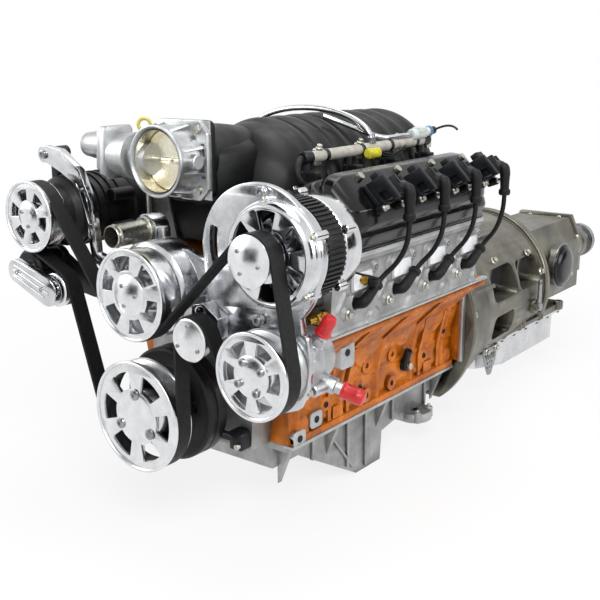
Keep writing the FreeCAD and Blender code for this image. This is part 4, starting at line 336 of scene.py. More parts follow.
def sector(x, z, inner, outer, centre, half, corner=4.0, inner_half=None):
    """A window between two radii, with rounded corners; angles in degrees."""
    inner_half = inner_half or half
    loop = []
    for k in range(9):
        a = math.radians(centre - half + 2 * half * k / 8)
        loop.append((x + outer * math.cos(a), z + outer * math.sin(a)))
    for k in range(9):
        a = math.radians(centre + inner_half - 2 * inner_half * k / 8)
        loop.append((x + inner * math.cos(a), z + inner * math.sin(a)))
    return corner_rounded(loop, corner)


def plate(name, outline, holes, front, back, edge=0.6):
    """A plate sawn from flat stock that faces forward, with holes and broken edges."""
    curve = bpy.data.curves.new(name, "CURVE")
    curve.dimensions = "2D"
    curve.fill_mode = "BOTH"
    curve.extrude = ((back - front) / 2 - edge) / 1000
    curve.bevel_depth = edge / 1000
    curve.bevel_resolution = 1
    curve.offset = -edge / 1000
    for loop in [outline] + list(holes):
        spline = curve.splines.new("POLY")
        spline.points.add(len(loop) - 1)
        for point, (x, z) in zip(spline.points, loop):
            point.co = (x / 1000, z / 1000, 0, 1)
        spline.use_cyclic_u = True
    obj = as_object(name, curve)
    mesh = ready(obj)
    bpy.data.curves.remove(curve)
    middle = at(0, (front + back) / 2, 0)
    for vertex in mesh.vertices:
        x, z, depth = vertex.co
        vertex.co = (x, middle.y - depth, z + middle.z)
    shape = bmesh.new()
    shape.from_mesh(mesh)
    bmesh.ops.remove_doubles(shape, verts=shape.verts, dist=0.00002)
    bmesh.ops.recalc_face_normals(shape, faces=shape.faces)
    shape.to_mesh(mesh)
    shape.free()
    return mesh


def prism(name, loop, direction, start, end, edge=1.0):
    """A solid drawn through a loop of 3-D millimetre points, pushed along a direction, with broken edges."""
    def build(shape):
        near = [shape.verts.new(at(*(Vector(p) + direction * start))) for p in loop]
        far = [shape.verts.new(at(*(Vector(p) + direction * end))) for p in loop]
        shape.faces.new(near)
        shape.faces.new(far)
        for i in range(len(loop)):
            j = (i + 1) % len(loop)
            shape.faces.new((near[i], near[j], far[j], far[i]))
    mesh = closed_mesh(name, build)
    return rounded(mesh, edge) if edge else mesh


def frame_of(direction):
    """Two axes square to a direction."""
    d = Vector(direction).normalized()
    side = d.cross(Vector((0, 0, 1)) if abs(d.z) < 0.9 else Vector((0, 1, 0))).normalized()
    return side, d.cross(side).normalized(), d


def hex_reach(angle):
    return 1 / math.cos((angle % (math.pi / 3)) - math.pi / 6)


def loft(name, origin, direction, rings, steps=24, closed=False):
    """Rings of (shape, radius, distance) along a direction, skinned: 'round' or 'hex'. Millimetres."""
    side, other, ahead = frame_of(direction)
    origin = Vector(origin)

    def build(shape):
        loops = []
        for kind, radius, distance in rings:
            loop = []
            for i in range(steps):
                a = 2 * math.pi * i / steps
                r = radius * (hex_reach(a) if kind == "hex" else 1)
                p = origin + ahead * distance + (side * math.cos(a) + other * math.sin(a)) * r
                loop.append(shape.verts.new(at(*p)))
            loops.append(loop)
        for near, far in zip(loops, loops[1:] + (loops[:1] if closed else [])):
            for i in range(steps):
                j = (i + 1) % steps
                shape.faces.new((near[i], near[j], far[j], far[i]))
        if not closed:
            shape.faces.new(loops[0])
            shape.faces.new(loops[-1])
        bmesh.ops.remove_doubles(shape, verts=shape.verts, dist=0.00001)
        bmesh.ops.dissolve_degenerate(shape, edges=shape.edges, dist=0.00001)
    return closed_mesh(name, build)


def rod(name, start, end, radius, edge=0.8, steps=32):
    start, end = Vector(start), Vector(end)
    length = (end - start).length
    rings = [("round", radius - edge, 0), ("round", radius, edge), ("round", radius, length - edge),
        ("round", radius - edge, length)]
    return loft(name, start, end - start, rings, steps)


def smooth_tube(name, points, radius, steps=10):
    """A bent tube or wire through millimetre points."""
    curve = bpy.data.curves.new(name, "CURVE")
    curve.dimensions = "3D"
    curve.bevel_depth = radius / 1000
    curve.bevel_resolution = 4
    curve.use_fill_caps = True
    spline = curve.splines.new("NURBS")
    spline.points.add(len(points) - 1)
    for point, p in zip(spline.points, points):
        point.co = (*at(*p), 1)
    spline.order_u = 3
    spline.use_endpoint_u = True
    spline.resolution_u = steps
    mesh = ready(as_object(name, curve))
    bpy.data.curves.remove(curve)
    return mesh


# Screws: a tree that sets one screw on every point, turned to the point's aim
def screw_pattern(kind):
    """The head of one screw, 1 mm high and wide, pointing up."""
    if kind == "socket":
        rings = [("round", 1.0, 0.0), ("round", 1.0, 0.85), ("round", 0.88, 1.0), ("hex", 0.46, 1.0),
            ("hex", 0.46, 0.45)]
    elif kind == "hole":
        rings = [("round", 1.0, 0.0), ("round", 1.0, 0.7), ("round", 0.9, 1.0), ("round", 0.66, 1.0),
            ("round", 0.6, 0.1)]
    elif kind == "flange":
        rings = [("round", 1.0, 0.0), ("round", 1.0, 0.18), ("round", 0.72, 0.34), ("hex", 0.64, 0.36),
            ("hex", 0.64, 0.9), ("round", 0.6, 1.0)]
    else:
        rings = [("round", 1.0, 0.0), ("round", 0.94, 0.35), ("round", 0.6, 0.55), ("hex", 0.34, 0.56),
            ("hex", 0.34, 0.3)]
    mesh = loft("screw_" + kind, (0, 0, 0), (0, 0, 1), rings, 24)
    home = at(0, 0, 0)
    for vertex in mesh.vertices:
        vertex.co = vertex.co - home
    return mesh


def screw_tree():
    tree = bpy.data.node_groups.new("screws", "GeometryNodeTree")
    face = tree.interface
    face.new_socket("Places", in_out="INPUT", socket_type="NodeSocketGeometry")
    face.new_socket("Screw", in_out="INPUT", socket_type="NodeSocketObject")
    face.new_socket("Head radius mm", in_out="INPUT", socket_type="NodeSocketFloat")
    face.new_socket("Head height mm", in_out="INPUT", socket_type="NodeSocketFloat")
    face.new_socket("Finish", in_out="INPUT", socket_type="NodeSocketMaterial")
    face.new_socket("Screws", in_out="OUTPUT", socket_type="NodeSocketGeometry")
    given = tree.nodes.new("NodeGroupInput")
    aim = add_node(tree, "GeometryNodeInputNamedAttribute", {"data_type": "FLOAT_VECTOR", "Name": "aim"})
    turn = add_node(tree, "FunctionNodeAlignRotationToVector", {"axis": "Z"}, {"Vector": (aim, "Attribute")})
    spin = add_node(tree, "FunctionNodeRandomValue", {"data_type": "FLOAT", "Seed": 7})
    spin.inputs[2].default_value = 0.0
    spin.inputs[3].default_value = 1.0
    about = add_node(tree, "FunctionNodeAxisAngleToRotation", None, {"Angle": (spin, 1)})
    both = add_node(tree, "FunctionNodeRotateRotation", {"rotation_space": "LOCAL"},
        {"Rotation": (turn, "Rotation"), "Rotate By": (about, "Rotation")})
    size = add_node(tree, "ShaderNodeCombineXYZ", None, {"X": (given, "Head radius mm"),
        "Y": (given, "Head radius mm"), "Z": (given, "Head height mm")})
    shape = add_node(tree, "GeometryNodeObjectInfo", None, {"Object": (given, "Screw")})
    set_on = add_node(tree, "GeometryNodeInstanceOnPoints", None, {"Points": (given, "Places"),
        "Instance": (shape, "Geometry"), "Rotation": (both, "Rotation"), "Scale": (size, "Vector")})
    real = add_node(tree, "GeometryNodeRealizeInstances", None, {"Geometry": (set_on, "Instances")})
    coloured = add_node(tree, "GeometryNodeSetMaterial", None, {"Geometry": (real, "Geometry"),
        "Material": (given, "Finish")})
    add_node(tree, "NodeGroupOutput", None, {"Screws": (coloured, "Geometry")})
    return tree


SCREWS = screw_tree()


def screws(name, places, body, material, radius, height, kind="socket"):
    """Screw heads at (place, aim) pairs, all of one size."""
    mesh = bpy.data.meshes.new(name)
    mesh.from_pydata([at(*place) for place, aim in places], [], [])
    aims = mesh.attributes.new("aim", "FLOAT_VECTOR", "POINT")
    for i, (place, aim) in enumerate(places):
        aims.data[i].vector = Vector(aim).normalized()
    obj = as_object(name, mesh)
    pattern = as_object(name + "_pattern", screw_pattern(kind))
    pattern.hide_render = True
    modifier = obj.modifiers.new("screws", "NODES")
    modifier.node_group = SCREWS
    values = {"Screw": pattern, "Head radius mm": radius, "Head height mm": height, "Finish": material}
    for item in SCREWS.interface.items_tree:
        if item.name in values and item.in_out == "INPUT":
            modifier[item.identifier] = values[item.name]
    done = ready(obj)
    bpy.data.objects.remove(pattern)
    return piece(name, [done], body, material)


# Sizes that the pieces share, in millimetres
ROOT2 = math.sqrt(2)
RIB_PITCH = 3.56
BELT_RIBS = 8
BELT_FRONT_Y = -176.0
BELT_REAR_Y = BELT_FRONT_Y + BELT_RIBS * RIB_PITCH
BELT_THICK = 4.4
DISC_FRONT_Y = -179.0
DISC_REAR_Y = -172.0
BRACKET_FRONT_Y = -118.0
BRACKET_REAR_Y = -106.0
CRANK = (0.0, 0.0)
PUMP = (0.0, 188.5)
IDLER = (117.0, 141.0)
ALTERNATOR = (229.6, 268.0)
STEERING = (230.8, 111.0)
COOLING = (-222.7, 281.8)
TENSION_PIVOT = (-245.0, 195.0)
TENSION_ROLLER = (-172.0, 171.0)
DECK_HEIGHT = 234.7
RAIL_V = 327.0
COVER_HEIGHT = 70.0
THROTTLE_Z = 376.0
ARCH_Z = 303.0
ARCH_R = 116.0
# The output shaft's radius, and the room that the casting's bore leaves for the shaft's facets as it turns.
SHAFT_R = 20.0
SHAFT_ROOM = 1.2
FRONTWARD = Vector((0, -1, 0))
REARWARD = Vector((0, 1, 0))


def polar(centre, radius, degrees):
    a = math.radians(degrees)
    return centre[0] + radius * math.cos(a), centre[1] + radius * math.sin(a)


def on_bank(side, u, v, y):
    """A point of a cylinder bank: u outwards across it, v along its bores."""
    return Vector((side * (v + u) / ROOT2, y, (v - u) / ROOT2))


def bank_start(side):
    return 0.0 if side > 0 else 24.1


def across_bank(side):
    return Vector((side, 0, -1)).normalized()


def along_bore(side):
    return Vector((side, 0, 1)).normalized()


def bank_block(name, side, loop, y0, y1, edge=1.5):
    points = [on_bank(side, u, v, y0) for u, v in loop]
    return prism(name, points, REARWARD, 0, y1 - y0, edge)


# Accessory drive
def lathe_turned(name, centre):
    """Billet turned and buffed about a shaft: the faint circles left by the tool draw wedges of light."""
    x, z = centre
    return surface(name, "#E6E7E9", "#D6D8DA", 26, 0.16, 0.10, 2.0, 0.008, metallic=1.0, offset=at(x, 0, z),
        rings_mm=2.2, rings_depth=0.012, turned=True)


def grooved_rim(name, centre, groove_r, rear):
    """A multi-rib pulley's rim: one groove for each rib, and a flange at the rear."""
    loop = [(groove_r - 7, DISC_REAR_Y), (groove_r, BELT_FRONT_Y)]
    for i in range(BELT_RIBS):
        y = BELT_FRONT_Y + i * RIB_PITCH
        loop += [(groove_r, y + 0.4), (groove_r - 2.3, y + 1.55), (groove_r - 2.3, y + 2.0),
            (groove_r, y + 3.15)]
    loop += [(groove_r, rear - 2), (groove_r + 3, rear - 1.4), (groove_r + 3, rear), (groove_r - 7, rear)]
    return turned(name, *centre, loop, 96, 0)


def windowed_disc(name, centre, radius, inner, outer, half, first, lip=5.0, count=6, narrow=0.9):
    """The face of a billet pulley: a disc with windows between its spokes, inside a raised lip."""
    holes = [sector(*centre, inner, outer, first + i * 360 / count, half, 4.5, half * narrow)
        for i in range(count)]
    face = plate(name, circle(*centre, radius - 1.5, 110), holes, DISC_FRONT_Y, DISC_REAR_Y, 0.9)
    edge = turned(name + "_lip", *centre, [(radius - lip, DISC_FRONT_Y + 1),
        (radius - lip + 1.6, DISC_FRONT_Y - 2.4), (radius - 1.4, DISC_FRONT_Y - 2.4),
        (radius, DISC_FRONT_Y - 1), (radius, BELT_FRONT_Y), (radius - lip, BELT_FRONT_Y)], 110, 0.5)
    return [face, edge]


def hub(name, centre, radius, rear, shaft_r):
    return turned(name, *centre, [(radius, DISC_REAR_Y - 3), (radius, rear), (shaft_r, rear),
        (shaft_r, DISC_REAR_Y - 3)], 64, 0.5)


def cone(name, centre, radius, height, tip=5.0, front=DISC_FRONT_Y):
    return turned(name, *centre, [(0.01, front + 2), (radius, front + 2), (radius, front - 0.4),
        (radius - 1.2, front - 1.4), (tip, front - height), (0.01, front - height)], 80, 0)


def front_screws(name, centre, radius, angles, depth, body, head_r=3.2, height=2.2, kind="socket"):
    places = [((*polar(centre, radius, a),), FRONTWARD) for a in angles]
    places = [((x, depth, z), aim) for (x, z), aim in places]
    return screws(name, places, body, STEEL, head_r, height, kind)


def crank_drive():
    finish = lathe_turned("turned_billet_crank", CRANK)
    parts = windowed_disc("crank_disc", CRANK, 87.0, 43, 70, 18, 57, 6.0)
    parts.append(grooved_rim("crank_rim", CRANK, 81.0, BELT_REAR_Y + 2))
    parts.append(hub("crank_hub", CRANK, 36, -134.3, 12))
    parts.append(turned("crank_boss", *CRANK, [(0.01, DISC_FRONT_Y + 1), (44, DISC_FRONT_Y + 1),
        (34, DISC_FRONT_Y - 1.6), (0.01, DISC_FRONT_Y - 2.4)], 80, 0.3))
    piece("crank_pulley_billet", parts, "crank_train", finish, ["crank_pulley"])
    front_screws("crank_pulley_bolts", CRANK, 36, (87, 207, 327), DISC_FRONT_Y - 1.2, "crank_train", 8.5, 7,
        "button")
    ring = turned("damper_ring", *CRANK, [(62, -111.4), (86, -112), (90, -109), (90, -96), (87.5, -95.2),
        (87.5, -93.6), (90, -92.8), (90, -74), (88, -72), (60, -72)], 110, 0.5)
    spokes = [plate("damper_web", circle(*CRANK, 63), [circle(*CRANK, 19, 40)]
        + [circle(*polar(CRANK, 46, 60 * i), 8, 24) for i in range(6)], -98, -88, 0.8)]
    nose = turned("damper_hub", *CRANK, [(19.2, -134), (33, -134), (34, -131), (34, -60), (30, -58.5),
        (19.2, -58.5)], 72, 0.8)
    piece("damper_black", [ring, nose] + spokes, "crank_train", DAMPER, ["harmonic_damper"])


def pump_drive():
    finish = lathe_turned("turned_billet_pump", PUMP)
    parts = windowed_disc("pump_disc", PUMP, 69.5, 37, 58, 17, 42, 5.0)
    drum = turned("pump_drum", *PUMP, [(60, DISC_REAR_Y), (66, BELT_FRONT_Y), (66, -142), (65, -140.5),
        (60, -140.5)], 110, 0.5)
    shaft = turned("pump_shaft", *PUMP, [(0.01, -174), (28, -174), (28, -146), (9, -146), (9, -60),
        (0.01, -60)], 60, 0.4)
    parts += [drum, shaft, cone("pump_cone", PUMP, 31, 7.5)]
    piece("pump_pulley_billet", parts, "pump_rotor", finish, ["water_pump_pulley"])
    front_screws("pump_cone_screws", PUMP, 17, (125, 5, 245), DISC_FRONT_Y - 4.0, "pump_rotor")


def alternator_drive():
    finish = lathe_turned("turned_billet_alternator", ALTERNATOR)
    parts = [turned("alternator_disc", *ALTERNATOR, [(0.01, DISC_REAR_Y), (33, DISC_REAR_Y),
        (35.4, BELT_FRONT_Y), (35.4, DISC_FRONT_Y + 1), (34, DISC_FRONT_Y), (6, DISC_FRONT_Y - 6),
        (0.01, DISC_FRONT_Y - 6.3)], 96, 0), grooved_rim("alternator_rim", ALTERNATOR, 32.0, BELT_REAR_Y + 2),
        hub("alternator_hub", ALTERNATOR, 16, -142.5, 8.5)]
    piece("alternator_pulley_billet", parts, "alternator_spinner", finish, ["alternator_pulley"])
    front_screws("alternator_cap_screws", ALTERNATOR, 20, (139, 347, 236), DISC_FRONT_Y - 2.9,
        "alternator_spinner", 2.8, 1.8)


def steering_drive():
    finish = lathe_turned("turned_billet_steering", STEERING)
    parts = windowed_disc("steering_disc", STEERING, 62.4, 31, 50, 17, 0, 6.0)
    parts.append(grooved_rim("steering_rim", STEERING, 57.0, BELT_REAR_Y + 2))
    parts.append(hub("steering_hub", STEERING, 24, -142.5, 9))
    parts.append(turned("steering_shaft", *STEERING, [(0.01, -176), (9, -176), (9, -120), (0.01, -120)], 40,
        0.4))
    parts.append(cone("steering_cone", STEERING, 30, 3.4, 8))
    piece("steering_pulley_billet", parts, "steering_spinner", finish, ["steering_pulley"])
    front_screws("steering_bolts", STEERING, 23, (30, 120, 210, 300), DISC_FRONT_Y - 1.6, "steering_spinner",
        5.6, 5)


def cooling_drive():
    finish = lathe_turned("turned_billet_cooling", COOLING)
    parts = windowed_disc("cooling_disc", COOLING, 57.0, 26, 43, 16, 48, 5.5)
    parts.append(grooved_rim("cooling_rim", COOLING, 50.0, BELT_REAR_Y + 2))
    parts.append(hub("cooling_hub", COOLING, 20, -142.5, 9))
    parts.append(turned("cooling_shaft", *COOLING, [(0.01, -176), (9, -176), (9, -118), (0.01, -118)], 40,
        0.4))
    parts.append(cone("cooling_cone", COOLING, 24, 3.0, 6))
    piece("cooling_pulley_billet", parts, "cooling_spinner", finish, ["compressor_pulley"])
    front_screws("cooling_screws", COOLING, 15, (152, 32, 272), DISC_FRONT_Y - 1.8, "cooling_spinner", 3.0,
        2.2)


def idler_drive():
    finish = lathe_turned("turned_billet_idler", IDLER)
    cap = turned("idler_cap", *IDLER, [(0.01, -184), (5, -183.6), (29.5, DISC_FRONT_Y - 0.6),
        (31.5, DISC_FRONT_Y + 1), (31.5, BELT_FRONT_Y), (29.5, BELT_FRONT_Y), (29.5, -164), (0.01, -164)], 96,
        0)
    piece("idler_cap_billet", [cap], "idler", finish, sharp=25)
    wheel = turned("idler_wheel", *IDLER, [(12, -164), (29.5, -164), (29.5, BELT_REAR_Y + 1),
        (12, BELT_REAR_Y + 1)], 80, 0.6)
    piece("idler_wheel_black", [wheel], "idler", DAMPER, ["idler_pulley"])
    front_screws("idler_screws", IDLER, 22, (87, 207, 327), DISC_FRONT_Y - 2.1, "idler", 2.8, 1.8)


def tensioner():
    ax, az = TENSION_PIVOT
    bx, bz = TENSION_ROLLER
    lean = math.degrees(math.atan2(bz - az, bx - ax))
    loop = [polar((ax, az), 19, lean + a) for a in range(90, 271, 12)]
    loop += [polar((bx, bz), 23, lean + a) for a in range(-90, 91, 12)]
    arm = plate("tensioner_arm", loop, [], -196, -182, 2.2)
    finish = lathe_turned("turned_billet_tensioner", TENSION_ROLLER)
    ahead = Vector((bx - ax, 0, bz - az)).normalized()
    square = Vector((-ahead.z, 0, ahead.x))
    bars = []
    for step in (-9, 0, 9):
        start = Vector((ax, -195.6, az)) + square * step - ahead * 4
        end = Vector((bx, -195.6, bz)) + square * step * 1.15 + ahead * (8 - abs(step))
        bars.append(rod("tensioner_bar", start, end, 2.6, 1.2, 16))
    pivot = rod("tensioner_pivot", (ax, -186, az), (ax, -109, az), 12)
    axle = rod("tensioner_axle", (bx, -186, bz), (bx, -146, bz), 8)
    piece("tensioner_arm_billet", [arm, pivot, axle] + bars, "tension_arm", BILLET, ["tensioner_arm"])
    places = [((ax + 6, -195.5, az - 1), FRONTWARD), ((bx - 9, -195.5, bz + 3), FRONTWARD)]
    screws("tensioner_screws", places, "tension_arm", STEEL, 4.2, 3.0, "socket")
    front = turned("roller_front", bx, bz, [(8.2, -178.8), (25, -178.8), (27, -177), (27, -168), (25, -166),
        (8.2, -166)], 80, 0.6)
    piece("roller_edge_billet", [front], "tension_roller", finish)
    wheel = turned("roller_wheel", bx, bz, [(8.2, -166), (25, -166), (27, -164), (27, BELT_REAR_Y),
        (25, BELT_REAR_Y + 1), (8.2, BELT_REAR_Y + 1)], 80, 0.6)
    piece("roller_wheel_black", [wheel], "tension_roller", DAMPER, ["tensioner_roller"])
    drum = turned("tensioner_drum", ax, az, [(12.2, -171), (26, -171), (30, -166), (30, -128), (27, -126),
        (27, -118), (30, -116), (30, -106), (12.2, -106)], 72, 0.6)
    foot = plate("tensioner_foot", [(-250, 184), (-236, 160), (-150, 150), (-100, 168), (-100, 188),
        (-160, 180), (-220, 212)], [], BRACKET_FRONT_Y, BRACKET_REAR_Y, 1.5)
    piece("tensioner_spring_drum", [drum, foot], "engine", DAMPER, ["tensioner_base"])


def belt_line(stops):
    """The belt's middle line round its pulleys, as (x, z, normal x, normal z): straight runs and arcs."""
    runs = []
    count = len(stops)
    for i in range(count):
        (x0, z0), r0, s0 = stops[i]
        (x1, z1), r1, s1 = stops[(i + 1) % count]
        span = math.hypot(x1 - x0, z1 - z0)
        heading = math.atan2(z1 - z0, x1 - x0) - math.asin((s1 * r1 - s0 * r0) / span)
        nx, nz = -math.sin(heading), math.cos(heading)
        runs.append(((x0 - s0 * r0 * nx, z0 - s0 * r0 * nz), (x1 - s1 * r1 * nx, z1 - s1 * r1 * nz),
            (nx, nz)))
    line = []
    for i in range(count):
        start, end, (nx, nz) = runs[i]
        for k in range(12):
            t = k / 12
            line.append((start[0] + (end[0] - start[0]) * t, start[1] + (end[1] - start[1]) * t, nx, nz))
        (x, z), r, s = stops[(i + 1) % count]
        onward = runs[(i + 1) % count][0]
        a0 = math.atan2(end[1] - z, end[0] - x)
        a1 = math.atan2(onward[1] - z, onward[0] - x)
        sweep = (s * (a1 - a0)) % (2 * math.pi)
        steps = max(4, int(sweep / math.radians(4)))
        for k in range(steps):
            a = a0 + s * sweep * k / steps
            line.append((x + r * math.cos(a), z + r * math.sin(a), -s * math.cos(a), -s * math.sin(a)))
    return line


def ribbed_belt():
    """The belt: a flat back and a row of ribs on its inner face, drawn along its line by a swept profile."""
    grow = 0.4 + BELT_THICK / 2
    stops = [(CRANK, 81 + grow, 1), (IDLER, 29.5 + grow, -1), (STEERING, 57 + grow, 1),
        (ALTERNATOR, 32 + grow, 1), (PUMP, 66 + grow, -1), (COOLING, 50 + grow, 1),
        (TENSION_ROLLER, 27 + grow, -1)]
    line = belt_line(stops)
    half = BELT_THICK / 2
    back = BELT_FRONT_Y + 0.6
    rear = BELT_REAR_Y - 0.6
    section = [(half - 0.4, back), (half, back - 0.0)]
    section = [(-half + 0.5, back), (-half, back + 0.5), (-half, rear - 0.5), (-half + 0.5, rear),
        (half - 2.2, rear)]
    pitch = (rear - back) / BELT_RIBS
    for i in range(BELT_RIBS):
        y = rear - i * pitch
        section += [(half, y - pitch * 0.30), (half, y - pitch * 0.70), (half - 2.0, y - pitch)]

    def build(shape):
        rings = []
        for x, z, nx, nz in line:
            rings.append([shape.verts.new(at(x + nx * d, y, z + nz * d)) for d, y in section])
        for k in range(len(rings)):
            near, far = rings[k], rings[(k + 1) % len(rings)]
            for i in range(len(section)):
                j = (i + 1) % len(section)
                shape.faces.new((near[i], near[j], far[j], far[i]))
    piece("belt_ribbed", [closed_mesh("belt", build)], "engine", RUBBER, ["serpentine_belt"], 30)


def broken_edges(node_name, width, steps=2, angle=34):
    """A node's own shape with its sharp edges broken, as the real one's are."""
    shape = bmesh.new()
    shape.from_mesh(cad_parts[node_name].data)
    bmesh.ops.remove_doubles(shape, verts=shape.verts, dist=0.00002)
    bmesh.ops.dissolve_limit(shape, angle_limit=math.radians(1.5), verts=shape.verts, edges=shape.edges)
    mesh = bpy.data.meshes.new(node_name + "_finished")
    shape.to_mesh(mesh)
    shape.free()
    return rounded(mesh, width, steps, angle)


# Alternator and its plate
def alternator():
    x, z = ALTERNATOR
    vents = [sector(x, z, 32, 62, 30 + 60 * i, 15, 5, 15) for i in range(6)]
    face = plate("alternator_face", circle(x, z, 67, 110), vents + [circle(x, z, 12, 32)], -141, -134, 0.8)
    rim = turned("alternator_front", x, z, [(64, -141), (67, -142), (71, -138), (74, -131), (74, -127),
        (72.5, -126), (72.5, -123.5), (74, -122.5), (74, -104), (72, -101), (66, -101), (66, -134)], 110, 0.5)
    rear = turned("alternator_rear", x, z, [(12, -10), (58, -10), (66, -14), (70, -21), (72, -57), (70, -59),
        (64, -59), (62, -24), (12, -20)], 96, 0.6)
    lugs = []
    for angle in (25, 100, 172, 250, 318):
        px, pz = polar(ALTERNATOR, 74.5, angle)
        lugs.append(rod("alternator_lug", (px, -128, pz), (px, -101, pz), 6.5, 1.2, 24))
        lugs.append(rod("alternator_lug", (px, -58.6, pz), (px, -40, pz), 6.5, 1.2, 24))
    piece("alternator_housing", [face, rim, rear] + lugs, "engine", BILLET)
    cores = turned("alternator_stack", x, z, [(56, -100.6), (70.5, -100.6), (70.5, -59.4), (56, -59.4)], 120,
        0.4)
    teeth = []
    for i in range(60):
        a = math.radians(6 * i)
        out = Vector((math.cos(a), 0, math.sin(a)))
        side = Vector((-math.sin(a), 0, math.cos(a)))
        middle = Vector((x, 0, z)) + out * 70
        loop = [middle - side * 1.9, middle - side * 1.6 + out * 3, middle + side * 1.6 + out * 3,
            middle + side * 1.9]
        teeth.append(prism("stack_tooth", [(p.x, -99.6, p.z) for p in loop], REARWARD, 0, 39, 0))
    piece("alternator_stack_black", [cores] + teeth, "engine", DAMPER, ["alternator_case"])
    places = [((*(polar(ALTERNATOR, 74.5, a)),), a) for a in (25, 100, 172, 250, 318)]
    screws("alternator_through_bolts", [((p[0], -128, p[1]), FRONTWARD) for p, a in places], "engine", ZINC,
        4.4, 4.5, "flange")
    blades = []
    for i in range(12):
        a = math.radians(30 * i)
        lean = math.radians(30 * i + 14)
        inner = Vector((x + 22 * math.cos(a), 0, z + 22 * math.sin(a)))
        outer = Vector((x + 50 * math.cos(lean), 0, z + 50 * math.sin(lean)))
        side = (outer - inner).cross(REARWARD).normalized() * 0.9
        loop = [inner - side, outer - side, outer + side, inner + side]
        blades.append(prism("fan_blade", [(p.x, -118, p.z) for p in loop], REARWARD, 0, 12, 0.3))
    fan = turned("fan_plate", x, z, [(8, -107), (50, -107), (50, -105), (8, -105)], 80, 0.3)
    core = turned("rotor_core", x, z, [(8, -102), (51, -102), (52, -100), (52, -60), (51, -58), (8, -58)], 72,
        0.5)
    shaft = turned("rotor_shaft", x, z, [(0.01, -150), (8, -150), (8, -31), (0.01, -31)], 32, 0.4)
    piece("alternator_fan", blades + [fan, core, shaft], "alternator_spinner", BRUSHED, ["alternator_rotor"])


def front_brackets():
    rim = [polar((195, 257), 104, a) for a in range(-46, 178, 4)]
    web = [(84, 180), (96, 150), (104, 112), (132, 72), (176, 48), (232, 40), (262, 52), (279, 86),
        (283, 128), (277, 162)]
    bores = [circle(*ALTERNATOR, 74.3, 96), circle(*STEERING, 51, 72), sector(*ALTERNATOR, 110, 124, 182, 15,
        6)]
    bores += [circle(x, z, 5, 20) for x, z in ((106, 171), (199, 172), (209, 350))]
    flat = plate("alternator_plate", rim + corner_rounded(web, 10), bores, BRACKET_FRONT_Y, BRACKET_REAR_Y,
        1.6)
    piece("alternator_plate_billet", [flat], "engine", BRUSHED, ["ring_bracket"])
    piece("compressor_arm_billet", [broken_edges("compressor_bracket", 2.4, 3)], "engine", BILLET,
        ["compressor_bracket"])
    piece("pump_housing_billet", [broken_edges("water_pump_housing", 1.6)], "engine", BRUSHED,
        ["water_pump_housing"])
    piece("bracket_posts_billet", [broken_edges("accessory_posts", 0.6)], "engine", BILLET,
        ["accessory_posts"])
    spots = [(106, 171), (199, 172), (209, 350)]
    screws("plate_bolts", [((x, -122.4, z), FRONTWARD) for x, z in spots], "engine", STEEL, 7.4, 7.0,
        "socket")
    screws("ear_bolts", [((84, -106.2, 214), FRONTWARD), ((-98, -106.2, 196), FRONTWARD),
        ((-98, -118.2, 178), FRONTWARD)], "engine", STEEL, 5.0, 4.5, "socket")


def compressor():
    x, z = COOLING
    body = turned("compressor_drum", x, z, [(9.5, -138), (46, -138), (47, -124), (53, -118), (56, -114),
        (56, -8), (60, -4), (60, 22), (50, 30), (0.01, 30), (0.01, -117), (9.5, -117)], 96, 1.0)
    parts = [body]
    for y in (-98, -82, -66, -50, -34):
        parts.append(turned("compressor_rib", x, z, [(54, y), (59, y + 0.6), (59, y + 3.4), (54, y + 4)], 96,
            0))
    for dx, dz in ((58, 24), (58, -30)):
        parts.append(rod("compressor_lug", (x + dx, -60, z + dz), (x + dx, -16, z + dz), 11, 1.2))
    parts.append(rod("compressor_lug", (-254, -105.7, 372), (-254, -70, 372), 11, 1.2))
    parts.append(prism("compressor_post", [(-263, -98, z + 40), (-245, -98, z + 40), (-245, -98, 372),
        (-263, -98, 372)], REARWARD, 0, 24, 2.0))
    piece("compressor_black", parts, "engine", DAMPER, ["compressor"])
    heads = [((x + 52 * math.cos(math.radians(a)), 24.6, z + 52 * math.sin(math.radians(a))), REARWARD)
        for a in range(0, 360, 60)]
    screws("compressor_bolts", heads, "engine", ZINC, 5, 5, "flange")
    screws("compressor_arm_bolts", [((-254, -118.2, 372), FRONTWARD)], "engine", STEEL, 7.0, 3.6, "socket")


# Castings: a skin of hills and ribs over a plain side
def step_down(distance, reach, soft):
    """1 within a reach, falling smoothly to 0 over the soft edge."""
    t = max(0.0, min(1.0, (reach + soft - distance) / soft))
    return t * t * (3 - 2 * t)


def to_segment(p, a, b):
    ax, ay, bx, by = a[0], a[1], b[0], b[1]
    length = (bx - ax) ** 2 + (by - ay) ** 2
    t = max(0.0, min(1.0, ((p[0] - ax) * (bx - ax) + (p[1] - ay) * (by - ay)) / length))
    return math.hypot(p[0] - ax - t * (bx - ax), p[1] - ay - t * (by - ay))


def to_box(p, middle, half_y, half_s, corner):
    return math.hypot(max(abs(p[0] - middle[0]) - half_y + corner, 0),
        max(abs(p[1] - middle[1]) - half_s + corner, 0)) - corner


